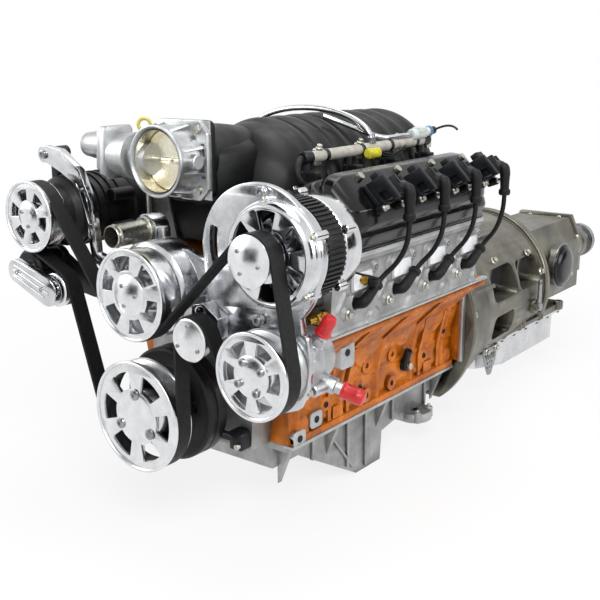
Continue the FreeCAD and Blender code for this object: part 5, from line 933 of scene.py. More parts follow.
def cast_skin(name, side, section, y0, y1, height, across=130, along=56, depth=3.0):
    """A closed skin over a section's (x, z) line from low to high, raised by height(y, distance along it)."""
    lengths = [0.0]
    for a, b in zip(section, section[1:]):
        lengths.append(lengths[-1] + math.dist(a, b))

    def spot(s):
        for k in range(len(section) - 1):
            if s <= lengths[k + 1] or k == len(section) - 2:
                t = (s - lengths[k]) / (lengths[k + 1] - lengths[k])
                a, b = section[k], section[k + 1]
                return Vector((a[0] + (b[0] - a[0]) * t, a[1] + (b[1] - a[1]) * t))
    total = lengths[-1]

    def build(shape):
        front, back = [], []
        for j in range(along + 1):
            s = total * j / along
            run = spot(min(total, s + 5)) - spot(max(0.0, s - 5))
            out = Vector((run.y, -run.x)).normalized()
            here = spot(s)
            top_row, low_row = [], []
            for i in range(across + 1):
                y = y0 + (y1 - y0) * i / across
                lift = height(y, s)
                if i in (0, across) or j in (0, along):
                    lift = min(lift, 0.4)
                p = here + out * lift
                q = here - out * depth
                top_row.append(shape.verts.new(at(side * p.x, y, p.y)))
                low_row.append(shape.verts.new(at(side * q.x, y, q.y)))
            front.append(top_row)
            back.append(low_row)
        for rows in (front, back):
            for a, b in zip(rows, rows[1:]):
                for i in range(across):
                    shape.faces.new((a[i], a[i + 1], b[i + 1], b[i]))
        for a, b in ((front[0], back[0]), (front[-1], back[-1])):
            for i in range(across):
                shape.faces.new((a[i], a[i + 1], b[i + 1], b[i]))
        for k in (0, -1):
            for j in range(along):
                shape.faces.new((front[j][k], front[j + 1][k], back[j + 1][k], back[j][k]))
    return closed_mesh(name, build)


def side_plate(name, side, loop, x0, x1, edge=1.0):
    """A pad that faces outwards: a loop of (y, z), thick from x0 to x1."""
    return prism(name, [(side * x0, y, z) for y, z in loop], Vector((side, 0, 0)), 0, x1 - x0, edge)


def box_loop(y0, y1, z0, z1, radius):
    return corner_rounded([(y0, z0), (y1, z0), (y1, z1), (y0, z1)], radius)


BLOCK_SIDE = [(149.6, -71), (149.6, -12), (166.4, 59.2), (219, 111.6)]


def block_sides():
    """The painted casting's flanks: barrels under the deck, ribs down each web, ledges, arches and bosses."""
    for side, bank in ((1, "left"), (-1, "right")):
        start = bank_start(side)
        bores = [74 + start + 111.76 * i for i in range(4)]
        webs = [18.1 + start / 2 + 111.76 * i for i in range(5)]
        ribs = []
        for y in webs:
            ribs.append(((y, 6), (y, 200), 3.5, 7.0))
        for y in bores:
            ribs.append(((y - 40, 116), (y - 14, 96), 3.0, 6.5))
            ribs.append(((y - 14, 96), (y + 16, 97), 3.0, 6.5))
            ribs.append(((y + 16, 97), (y + 41, 118), 3.0, 6.5))
        ribs += [((130, 30), (168, 64), 2.6, 6.0), ((330, 64), (372, 24), 2.6, 6.0),
            ((372, 24), (452, 60), 2.6, 5.0), ((30, 60), (96, 22), 2.6, 5.0), ((392, 70), (392, 150), 3.0,
            6.0), ((150, 120), (210, 66), 2.4, 5.0)]
        bosses = [(88, 45, 12), (395, 48, 13), (460, 138, 10), (457, 82, 10), (185, 46, 12), (336, 70, 12),
            (30, 30, 12), (486, 26, 12), (250, 110, 9)]
        flats = [(206, 26), (286, 26), (206, 80), (286, 80)]

        def height(y, s):
            lift = 0.8 + 0.7 * math.sin(y * 0.11) * math.sin(s * 0.16)
            near = min(bores, key=lambda b: abs(b - y))
            barrel = max(0.0, math.cos(math.pi * (y - near) / 118)) ** 0.7
            lift += 8.5 * barrel * step_down(abs(s - 150), 34, 26)
            lift += 3.5 * step_down(abs(s - 40), 14, 12) * barrel
            for a, b, wide, high in ribs:
                lift = max(lift, high * step_down(to_segment((y, s), a, b), wide, 5))
            lift = max(lift, 8.5 * step_down(208 - s, 9, 4), 5.0 * step_down(s, 10, 4),
                4.6 * step_down(abs(s - 63), 2.4, 6))
            for by, bs, r in bosses:
                lift = max(lift, 8.0 * step_down(math.hypot(y - by, s - bs), r, 4))
            for by, bs in flats:
                lift = min(lift, 1.2 + 9 * step_down(24, math.hypot(y - by, s - bs), 8))
            return lift
        piece("block_casting_" + bank, [cast_skin("block_skin", side, BLOCK_SIDE, 1, 507, height, 190, 84)],
            "engine", ORANGE, sharp=70)
        rails = [side_plate("deck_edge", side, box_loop(2, 505, 113.0, 117.5, 1.5), 214, 226.4, 0.8),
            side_plate("pan_edge", side, box_loop(-1, 505, -76.5, -70.5, 1.5), 140, 160.0, 0.8),
            side_plate("flange_edge", side, box_loop(505.2, 518.2, -62, 112, 1.5), 168, 177.0, 0.8)]
        piece("machined_edges_" + bank, rails, "engine", CAST_SMOOTH)
        pads = [side_plate("accessory_pad", side, box_loop(66, 104, 46, 96, 8), 160, 203, 1.4),
            side_plate("lower_pad", side, box_loop(44, 76, -56, -28, 9), 149, 160, 1.2),
            side_plate("corner_foot", side, box_loop(2, 34, -76, -48, 9), 146, 158.6, 1.2)]
        piece("machined_pads_" + bank, pads, "engine", CAST_SMOOTH)
        # Painted shade: the near-black disks below stand for the tapped holes in the pads, whose inside is dark
        # only from shade.
        holes = [((side * 203.4, 84, 72), Vector((side, 0, 0))), ((side * 160.4, 60, -42),
            Vector((side, 0, 0))), ((side * 159, 18, -62), Vector((side, 0, 0)))]
        screws("pad_holes_" + bank, holes, "engine", DAMPER, 6.0, 0.7, "hole")
        dots = []
        for y, s, r in bosses[:5]:
            x, z = (149.6, -71 + s) if s < 59 else (149.6 + (s - 59) * 0.229, -12 + (s - 59) * 0.973)
            dots.append(((side * (x + 8.2), y, z), Vector((side, 0, 0 if s < 59 else -0.23))))
        screws("casting_plugs_" + bank, dots, "engine", DAMPER, 5.2, 1.6, "hole")
        freeze = [(on_bank(side, 76.6, 182, y), across_bank(side)) for y in (bores[0], bores[2])]
        screws("core_plugs_" + bank, [(tuple(p), a) for p, a in freeze], "engine", BRASS, 18.4, 5.0, "hole")


HEAD_SIDE = [(220.6, 114.6), (227.4, 233.4)]


def head_sides():
    """The heads' exhaust faces: raised port pads, plug wells, bolt bosses and the rail under each cover."""
    for side, bank in ((1, "left"), (-1, "right")):
        start = bank_start(side)
        bores = [74 + start + 111.76 * i for i in range(4)]
        studs = [(y - 25, 31) for y in bores]
        holes = [(y + 38, 70) for y in bores] + [(y + 46, 92) for y in bores]

        def height(y, s):
            lift = 0.6
            for b in bores:
                lift = max(lift, 6.5 * step_down(to_box((y, s), (b + 6, 80), 31, 18, 8), 0, 3.5))
                away = math.hypot(y - b, s - 46)
                lift = max(lift, 4.5 * step_down(abs(away - 15), 2.2, 3))
                lift = max(lift, 5.0 * step_down(math.hypot(y - b - 52, s - 7), 15, 6))
                lift = max(lift, 4.0 * step_down(to_segment((y, s), (b + 48, 12), (b + 38, 60)), 2.2, 4))
                lift = max(lift, 3.5 * step_down(to_segment((y, s), (b - 46, 40), (b - 30, 62)), 2.0, 4))
            for hy, hs in studs + holes:
                lift = max(lift, 5.5 * step_down(math.hypot(y - hy, s - hs), 8, 3))
            return max(lift, 6.0 * step_down(119 - s, 11, 3.5), 4.0 * step_down(s, 4, 4))
        piece("head_casting_" + bank, [cast_skin("head_skin", side, HEAD_SIDE, 12.6 + start, 461.4 + start,
            height, 190, 52)], "engine", CAST, sharp=70)
        seats = [side_plate("port_face", side, box_loop(b - 24, b + 36, 178, 210, 7), 224, 233.4, 0.8)
            for b in bores]
        piece("port_faces_" + bank, seats, "engine", CAST_SMOOTH)
        foils = [side_plate("port_foil", side, box_loop(b - 19, b + 31, 181, 207, 6), 232, 234.4, 0.5)
            for b in bores]
        piece("port_foils_" + bank, foils, "engine", FOIL)
        out = Vector((side, 0, -0.057))
        screws("head_studs_" + bank, [((side * (222.6 + 5.5), y, 114.6 + s), out) for y, s in studs],
            "engine", ZINC, 7.5, 7, "flange")
        # Painted shade: the near-black disks stand for the bolt holes in the bosses, whose inside is dark only
        # from shade.
        screws("head_holes_" + bank, [((side * (224.6 + 6.2), y, 114.6 + s), out) for y, s in holes],
            "engine", DAMPER, 4.4, 0.7, "hole")
        top = side_plate("cover_seat", side, box_loop(10 + start, 464 + start, 229, 236.6, 2), 214, 234.6,
            0.8)
        piece("machined_rail_" + bank, [top], "engine", CAST_SMOOTH)


# Ignition
COIL_BASE_V = RAIL_V + COVER_HEIGHT + 0.3


def coil_ys(side):
    return [112.0 + bank_start(side) + i * 104.0 for i in range(4)]


def one_coil(side, y):
    """One coil: a potted block in its C-shaped iron frame, a foot, and the outlet that its boot pushes on."""
    v = COIL_BASE_V
    foot = bank_block("coil_foot", side, [(-72, v), (-36, v), (-36, v + 7), (-72, v + 7)], y - 30, y + 30,
        1.2)
    block = bank_block("coil_block", side, [(-68, v + 7), (-38, v + 7), (-30, v + 34), (-60, v + 34)], y - 19,
        y + 26, 2)
    frame_loop = [(-74, v + 5), (-30, v + 5), (-28, v + 14), (-50, v + 14), (-46, v + 29), (-26, v + 29),
        (-23, v + 39), (-66, v + 39)]
    front = bank_block("coil_frame", side, frame_loop, y - 27, y - 19, 1.2)
    back = bank_block("coil_back", side, [(-72, v + 6), (-36, v + 6), (-27, v + 37), (-64, v + 37)], y + 4,
        y + 10, 1.0)
    start = on_bank(side, -50, v + 22, y + 12)
    tower = loft("coil_outlet", start, (side, 0, 0.04), [("round", 11, 0), ("round", 11, 14),
        ("round", 10, 16), ("round", 9, 20)])
    fins = [bank_block("coil_fin", side, [(-62, v + 34), (-34, v + 34), (-33, v + 36.5), (-61, v + 36.5)],
        y + d, y + d + 2.4, 0.5) for d in (-14, -8, -2, 14, 19)]
    plug = prism("coil_socket", [on_bank(side, -66, v + 10, y - 14), on_bank(side, -84, v + 12, y - 14),
        on_bank(side, -82, v + 26, y - 14), on_bank(side, -62, v + 26, y - 14)], REARWARD, 0, 22, 2)
    return [foot, block, front, back, tower, plug] + fins


def ignition():
    for side, bank in ((1, "left"), (-1, "right")):
        parts = []
        bolts = []
        posts = []
        for y in coil_ys(side):
            parts += one_coil(side, y)
            for dy in (-25, 25):
                spot = on_bank(side, -32, COIL_BASE_V - 2, y + dy)
                out = (across_bank(side) * 0.45 + along_bore(side)).normalized()
                posts.append(rod("coil_post", spot - out * 10, spot + out * 10, 6.5, 1.0, 20))
                bolts.append((tuple(spot + out * 10), out))
        piece("coils_" + bank, parts, "engine", COIL_PLASTIC, ["ignition_coils"] if bank == "left" else ())
        piece("coil_posts_" + bank, posts, "engine", RUBBER)
        screws("coil_bolts_" + bank, bolts, "engine", ZINC, 5.2, 7.5, "flange")
        plug_leads(side, bank)


def elbow_boot(name, start, out, reach, turn, leg, r):
    """A rubber elbow: out from its post, round a knee, then down or up a leg that ends in a thick ring."""
    start, out, turn = Vector(start), Vector(out).normalized(), Vector(turn).normalized()
    knee = start + out * reach
    first = smooth_tube(name, [start, knee - out * (r * 0.4), knee + turn * (r * 0.5),
        knee + turn * (r * 1.8)], r, 8)
    rings = [("round", r, 0), ("round", r * 0.94, leg * 0.3), ("round", r * 0.86, leg * 0.72),
        ("round", r * 1.12, leg * 0.78), ("round", r * 1.16, leg * 0.92), ("round", r * 0.98, leg),
        ("round", r * 0.5, leg)]
    return [first, loft(name, knee + turn * r * 1.0, turn, rings, 24)], knee + turn * (leg + r)


def plug_leads(side, bank):
    """For each cylinder a boot on the coil, one on the plug and the wire that hangs between them."""
    start = bank_start(side)
    boots, leads, plugs = [], [], []
    for i, coil_y in enumerate(coil_ys(side)):
        plug_y = 74 + start + 111.76 * i
        mouth = (side * 227.5, plug_y, 158)
        out = Vector((side, 0, 0.1)).normalized()
        lift = (side * 0.12, 0.76, 0.64)
        made, low = elbow_boot("plug_boot", Vector(mouth) - out * 8, out, 19, lift, 34, 8.8)
        boots += made
        tower = on_bank(side, -50, COIL_BASE_V + 22, coil_y + 12) + Vector((side * 12, 0, 0.5))
        made, high = elbow_boot("coil_boot", tower, (side, 0, 0.02), 13, (side * 0.02, -0.02, -1), 40, 8.8)
        boots += made
        down = Vector((side * 0.02, 0.02, -1))
        leads.append(smooth_tube("lead", [low - Vector(lift).normalized() * 4, low + Vector(lift).normalized()
            * 12, Vector((side * 265, (low.y + coil_y + 12) / 2 + 8, low.z + 28)),
            Vector((side * 281, coil_y + 14, low.z + 56)), high + down * 12, high - down * 4], 4.0, 14))
        plugs.append(loft("plug_shell", Vector(mouth) - out * 18, out, [("hex", 8.2, 0), ("hex", 8.2, 12),
            ("round", 5.5, 13), ("round", 5.5, 16)], 24))
    nodes = (["plug_wires"], ["spark_plugs"]) if bank == "left" else ((), ())
    piece("plug_leads_" + bank, boots + leads, "engine", RUBBER, nodes[0])
    piece("plug_shells_" + bank, plugs, "engine", ZINC, nodes[1])


def fuel_system():
    """Rails with their sleeve, end caps and clips, the polished pipe between them, plugs and injectors."""
    for side, bank in ((1, "left"), (-1, "right")):
        y0 = 66 + bank_start(side)
        x, z = side * 131, 372
        tube = rod("rail_tube", (x, y0, z), (x, y0 + 366, z), 9, 1.0)
        caps = [rod("rail_cap", (x, y0 - 1, z), (x, y0 + 20, z), 10.2, 2.0), rod("rail_cap", (x, y0 + 346, z),
            (x, y0 + 367, z), 10.2, 2)]
        bands = [rod("rail_band", (x, y0 + d, z), (x, y0 + d + 9, z), 10.0, 0.8) for d in (52, 150, 236, 318)]
        piece("rail_sleeve_" + bank, [tube], "engine", SLEEVE, ["fuel_rails"] if side > 0 else ())
        piece("rail_fittings_" + bank, caps + bands, "engine", COIL_PLASTIC)
        bores = [74 + bank_start(side) + 111.76 * i for i in range(4)]
        bodies, locks, tabs = [], [], []
        for y in bores:
            bodies.append(loft("injector", (x, y, 322), (0, 0, 1), [("round", 6.5, 0), ("round", 6.5, 12),
                ("round", 9, 13), ("round", 9, 28), ("round", 6.5, 30), ("round", 6.5, 42)], 24))
            locks.append(side_plate("injector_plug", side, box_loop(y - 8, y + 8, 336, 352, 3), 136, 156,
                1.5))
            tabs.append(side_plate("rail_tab", side, box_loop(y + 26, y + 42, 356, 384, 4), 124, 130, 0.8))
        piece("injectors_" + bank, bodies, "engine", COIL_PLASTIC)
        piece("injector_plugs_" + bank, locks, "engine", DAMPER)
        piece("rail_tabs_" + bank, tabs, "engine", ZINC)
        screws("rail_bolts_" + bank, [((side * 131, y + 34, 383), (side * 0.3, 0, 1)) for y in bores],
            "engine", ZINC, 6, 7, "flange")
    arch = []
    for k in range(25):
        a = math.pi * k / 24
        arch.append((131 * math.cos(a), 252, 384 + 50 * math.sin(a)))
    pipe = smooth_tube("crossover", arch, 5.0, 4)
    ends = [loft("banjo", (s * 131, 252, 381), (0, 0, 1), [("hex", 8.5, 0), ("hex", 8.5, 9),
        ("round", 7, 9.5), ("round", 7, 15)], 24) for s in (1, -1)]
    second = smooth_tube("rear_pipe", [(60, 214, 424), (92, 236, 410), (118, 268, 392), (131, 300, 384),
        (134, 340, 386), (134, 372, 384)], 4.2, 8)
    piece("fuel_pipes", [pipe, second] + ends, "engine", BILLET)
    body = loft("fuel_plug", (134, 372, 384), (0.05, 1, 0.06), [("round", 9, 0), ("round", 10.5, 4),
        ("round", 10.5, 40), ("round", 8.5, 44), ("round", 8.5, 52)], 28)
    piece("fuel_plug_body", [body, side_plate("fuel_latch", 1, box_loop(384, 408, 388, 397, 2), 130, 147,
        1.2)], "engine", PLUG_WHITE)
    piece("fuel_plug_ring", [loft("ring", (136.6, 424, 387), (0.05, 1, 0.06),
        [("round", 9.6, 0), ("round", 9.6, 6)], 28)], "engine", PLUG_BLUE)
    piece("fuel_plug_end",
        [loft("end", (137, 430, 387.3), (0.05, 1, 0.06), [("round", 7.5, 0), ("round", 7, 14),
        ("round", 4, 16)], 24)], "engine", COIL_PLASTIC)
    ribs = [rod("yellow_rib", (148, 218 + 5 * i, 366), (148, 221.4 + 5 * i, 366), 8.5, 0.6, 20)
        for i in range(6)]
    core = rod("yellow_core", (148, 216, 366), (148, 248, 366), 6.5, 0.6, 20)
    piece("yellow_plug", ribs + [core], "engine", PLUG_YELLOW)
    wires = [smooth_tube("loom", [(148, 248, 366 + d), (152, 268, 360 + d), (150, 300, 356 + d),
        (146, 336, 368 + d)], 1.6, 8) for d in (-2, 2)]
    wires.append(smooth_tube("loom", [(137, 446, 388), (150, 460, 396), (176, 452, 396), (190, 436, 392)],
        2.0, 8))
    wires.append(smooth_tube("loom", [(131, 62, 372), (140, 40, 366), (146, 34, 344), (150, 48, 330)], 5.0,
        8))
    piece("loom_wires", wires, "engine", RUBBER)


def valve_covers():
    """Each cover: a gasket rail, a stepped shoulder and a rounded top, through sections along the head."""
    for side, bank in ((1, "left"), (-1, "right")):
        y0 = 16 + bank_start(side)
        y1 = y0 + 442
        v = RAIL_V
        rail = bank_block("cover_rail", side, [(-3, v + 0.1), (-3, v + 9), (-133, v + 9), (-133, v + 0.1)],
            y0 - 5, y1 + 5, 1.6)
        shoulder = [(-6, v + 2), (-3, v + 20), (-9, v + 36), (-20, v + 42), (-118, v + 42), (-128, v + 30),
            (-130, v + 2)]
        lower = bank_loft("cover_shoulder", side, shoulder, v + 2, y0 - 2, y1 + 1, 26)
        crown = [(-14, v + 30), (-18, v + 52), (-36, v + 70), (-100, v + 70), (-116, v + 58), (-120, v + 30)]
        upper = bank_loft("cover_crown", side, crown, v + 30, y0 + 10, y1 - 8, 38)
        piece("valve_cover_" + bank, [rail, lower, upper], "engine", COVER_BLACK,
            ["valve_covers"] if bank == "left" else ())
        bolts = []
        for i in range(5):
            bolts.append((tuple(on_bank(side, -132, v + 9, y0 + 14 + i * 103)), along_bore(side)))
        for i in range(4):
            bolts.append((tuple(on_bank(side, -92, v + COVER_HEIGHT + 0.2, y0 + 78 + i * 104)),
                along_bore(side)))
        screws("cover_bolts_" + bank, bolts, "engine", ZINC, 4.2, 4.5, "flange")


def bank_loft(name, side, loop, floor_v, y0, y1, reach):
    """A long form over a bank whose ends round off: each section shrinks towards its middle near an end."""
    mid = sum(u for u, v in loop) / len(loop)
    stations = []
    for t in (0.0, 0.1, 0.25, 0.45, 0.7, 1.0):
        stations.append((y0 + reach * t, reach * (1 - math.sqrt(1 - (1 - t) ** 2))))
    stations += [(y0 + (y1 - y0) * k / 6, 0.0) for k in range(1, 6)]
    for t in (1.0, 0.7, 0.45, 0.25, 0.1, 0.0):
        stations.append((y1 - reach * t, reach * (1 - math.sqrt(1 - (1 - t) ** 2))))
    fine = corner_rounded(loop, 9, 12)

    def build(shape):
        rings = []
        for y, shrink in stations:
            ring = []
            for u, v in fine:
                du = u - mid
                nu = mid + du * max(0.2, 1 - shrink / 60)
                nv = floor_v + (v - floor_v) * max(0.2, 1 - shrink / 60)
                ring.append(shape.verts.new(at(*on_bank(side, nu, nv, y))))
            rings.append(ring)
        for near, far in zip(rings, rings[1:]):
            for i in range(len(fine)):
                j = (i + 1) % len(fine)
                shape.faces.new((near[i], near[j], far[j], far[i]))
        shape.faces.new(rings[0])
        shape.faces.new(rings[-1])
    return closed_mesh(name, build)


def steering_unit():
    """The pump: its bright drum, ribs and plate, two hex fittings and the soft red plugs pushed over them."""
    x, z = STEERING
    drum = turned("steering_drum", x, z, [(9.4, -138), (42, -138), (47, -135), (50, -131), (50, -120),
        (48.6, -119), (48.6, -112), (50, -111), (50, -86), (44, -74), (40, -66), (40, -42), (37, -39.6),
        (0.01, -39.6), (0.01, -119), (9.4, -119)], 90, 0.5)
    loop = [(x - 64, z - 20), (x - 20, z - 58), (x + 34, z - 50), (x + 50, z + 10), (x + 20, z + 56),
        (x - 40, z + 42)]
    ear = plate("steering_plate", corner_rounded(loop, 9), [], BRACKET_REAR_Y + 0.3, -96, 1.0)
    mount = plate("steering_mount", corner_rounded([(x - 78, z - 30), (x - 42, z - 30), (x - 42, z + 20),
        (x - 78, z + 20)], 6), [], BRACKET_REAR_Y + 0.3, -0.6, 1.2)
    first = loft("steering_outlet", (x + 34, -86, z + 20), (0.5, 0, 0.86),
        [("round", 11, 0), ("round", 11, 12), ("hex", 10, 12.5), ("hex", 10, 24), ("round", 8.4, 25),
        ("round", 8.4, 34)], 36)
    second = loft("steering_inlet", (x + 26, -62, z - 30), (0.92, 0.25, -0.3),
        [("round", 12, 0), ("round", 12, 12), ("hex", 11, 12.5), ("hex", 11, 26), ("round", 9, 27),
        ("round", 9, 40)], 36)
    lumps = [rod("steering_boss", (x + 42, -100, z - 34), (x + 42, -74, z - 34), 9, 1.4, 24),
        rod("steering_boss", (x - 30, -100, z + 40), (x - 30, -74, z + 40), 9, 1.4, 24)]
    piece("steering_pump_casting", [drum, ear, mount, first, second] + lumps, "engine", CAST_SMOOTH,
        ["steering_pump"])
    screws("steering_pump_bolts", [((x + 42, -105, z - 34), FRONTWARD), ((x - 30, -105, z + 40), FRONTWARD)],
        "engine", ZINC, 6, 6, "flange")
    up = Vector((0.5, 0, 0.86)).normalized()
    away = Vector((0.92, 0.25, -0.3)).normalized()
    caps = []
    for place, aim, r, tall in ((Vector((x + 34, -86, z + 20)) + up * 31, up, 10.5, 30),
            (Vector((x + 26, -62, z - 30)) + away * 37, away, 12.0, 34)):
        caps.append(loft("red_plug", place, aim, [("round", r * 0.9, 0), ("round", r * 1.14, 0.4),
            ("round", r * 1.16, 3.2), ("round", r * 1.0, 4.2), ("round", r * 0.98, tall * 0.6),
            ("round", r * 1.03, tall * 0.64), ("round", r * 0.95, tall - 5), ("round", r * 0.8, tall - 1.2),
            ("round", r * 0.5, tall)], 36))
    piece("steering_plugs_red", caps, "engine", RED_CAP, ["steering_caps"])


def coolant_outlet():
    """The plated hose nipple: two raised beads, and the dark bore that looks out of its mouth."""
    x, z = -81, 259
    wall = [(21.5, -66.2), (21.5, -71), (20.5, -72), (17.5, -72.4), (17.5, -126), (18.7, -128.4),
        (17.5, -131), (17.5, -135.2), (16.9, -136), (15.6, -136), (15.5, -134), (15.5, -72), (15.5, -66.2)]
    piece("hose_nipple_plated", [turned("nipple", x, z, wall, 72, 0)], "engine", ZINC, ["hose_nipple"], 30)


def small_fittings():
    """The senders: knock and crank ones with their collars, two brass ones and the black boot on the side."""
    knock = [rod("knock_body", (150.4, 330, -24), (164, 330, -24), 11, 1.2),
        rod("knock_plug", (158, 330, -18), (170, 322, 8), 7, 1.4)]
    block = prism("crank_sensor", [(88, -69.5, -66), (112, -69.5, -66), (112, -69.5, -40), (106, -69.5, -36),
        (88, -69.5, -36)], REARWARD, 0, 23, 2.0)
    piece("sensors_black", knock + [block, rod("sensor_plug", (96, -62, -50), (76, -72, -44), 7, 1.2)],
        "engine", COIL_PLASTIC, ["sensors"])
    piece("sensor_collars", [rod("knock_bolt", (164, 330, -24), (171, 330, -24), 6.5, 1.0),
        rod("crank_bolt", (106, -75, -58), (106, -66, -58), 5, 1)], "engine", ZINC)
    place = on_bank(1, 44, DECK_HEIGHT + 21, -34)
    sender = [loft("sender", (place.x, 11.6, place.z), FRONTWARD, [("hex", 8.6, 0), ("hex", 8.6, 10),
        ("round", 7.4, 11), ("round", 7.4, 14), ("hex", 7.6, 14.5), ("hex", 7.6, 24), ("round", 5.5, 25),
        ("round", 5.5, 40)], 36)]
    piece("sender_brass", sender, "engine", BRASS)
    side_place = Vector((228, 76, 196))
    second = [loft("sender", side_place - Vector((4, 0, 0)), (0.95, 0.3, -0.1),
        [("hex", 8.2, 0), ("hex", 8.2, 9), ("round", 7.0, 10), ("round", 7.0, 12), ("hex", 7.2, 12.5),
        ("hex", 7.2, 20)], 36)]
    piece("side_sender_brass", second, "engine", BRASS)
    boot = [rod("sender_boot", side_place + Vector((15, 5, -1.5)), side_place + Vector((30, 10, -4)), 8, 2.2,
        24), smooth_tube("sender_lead", [side_place + Vector((26, 9, -3)), side_place + Vector((34, 14, 2)),
        (244, 40, 214), (236, 26, 226), (228, 30, 250)], 1.7, 10)]
    piece("sender_boot_black", boot, "engine", RUBBER)


def cast_pan():
    """The sump in one casting: soft edges, webs, tabs and notches on its rail, filter pad and drain plug."""
    ribs = []
    tabs = []
    for side in (1, -1):
        for y, low in ((104, -140), (206, -190), (262, -206), (352, -146), (468, -150)):
            ribs.append(side_plate("pan_rib", side, [(y - 3, low), (y + 3, low), (y + 3, -84), (y - 3, -84)],
                113, 121, 1.6))
        ribs.append(side_plate("pan_web", side, [(128, -84), (134, -84), (226, -196), (220, -196)], 113,
            120.5, 1.4))
        for i, y in enumerate((12, 62, 110, 166, 214, 262, 316, 372, 428, 492)):
            tabs.append(side_plate("rail_tab", side, box_loop(y - 9, y + 9, -83, -72.4, 3), 132,
                146.5 + (i % 3) * 0.8, 1.0))
    bowl = [loft("filter_pad", (118, 432, -167), (0, 0, 1), [("round", 33, 0), ("round", 34, 2),
        ("round", 34, 15), ("round", 32, 17.5), ("round", 27, 17.5), ("round", 25, 11), ("round", 9, 11),
        ("round", 8, 17)], 60)]
    boss = [rod("filter_boss", (138, 453, -167), (138, 453, -146), 8, 1.6, 24),
        rod("filter_boss", (138, 411, -167), (138, 411, -146), 8, 1.4)]
    piece("oil_pan_casting", [broken_edges("oil_pan", 2.2, 2, 40)] + ribs + tabs + bowl + boss, "engine",
        CAST, ["oil_pan"], 40)
    screws("pan_rail_bolts", [((side * 137, y, -84.4), (0, 0, -1)) for side in (1, -1) for y in (40, 110, 190,
        360, 440)], "engine", ZINC, 5.4, 5.6, "flange")
    screws("drain_plug", [((96, 325, -197), REARWARD)], "engine", ZINC, 10, 8, "flange")
    screws("filter_studs", [((138, 453, -146.5), (0, 0, 1)), ((138, 411, -146.5), (0, 0, 1))], "engine", ZINC,
        5, 5, "flange")


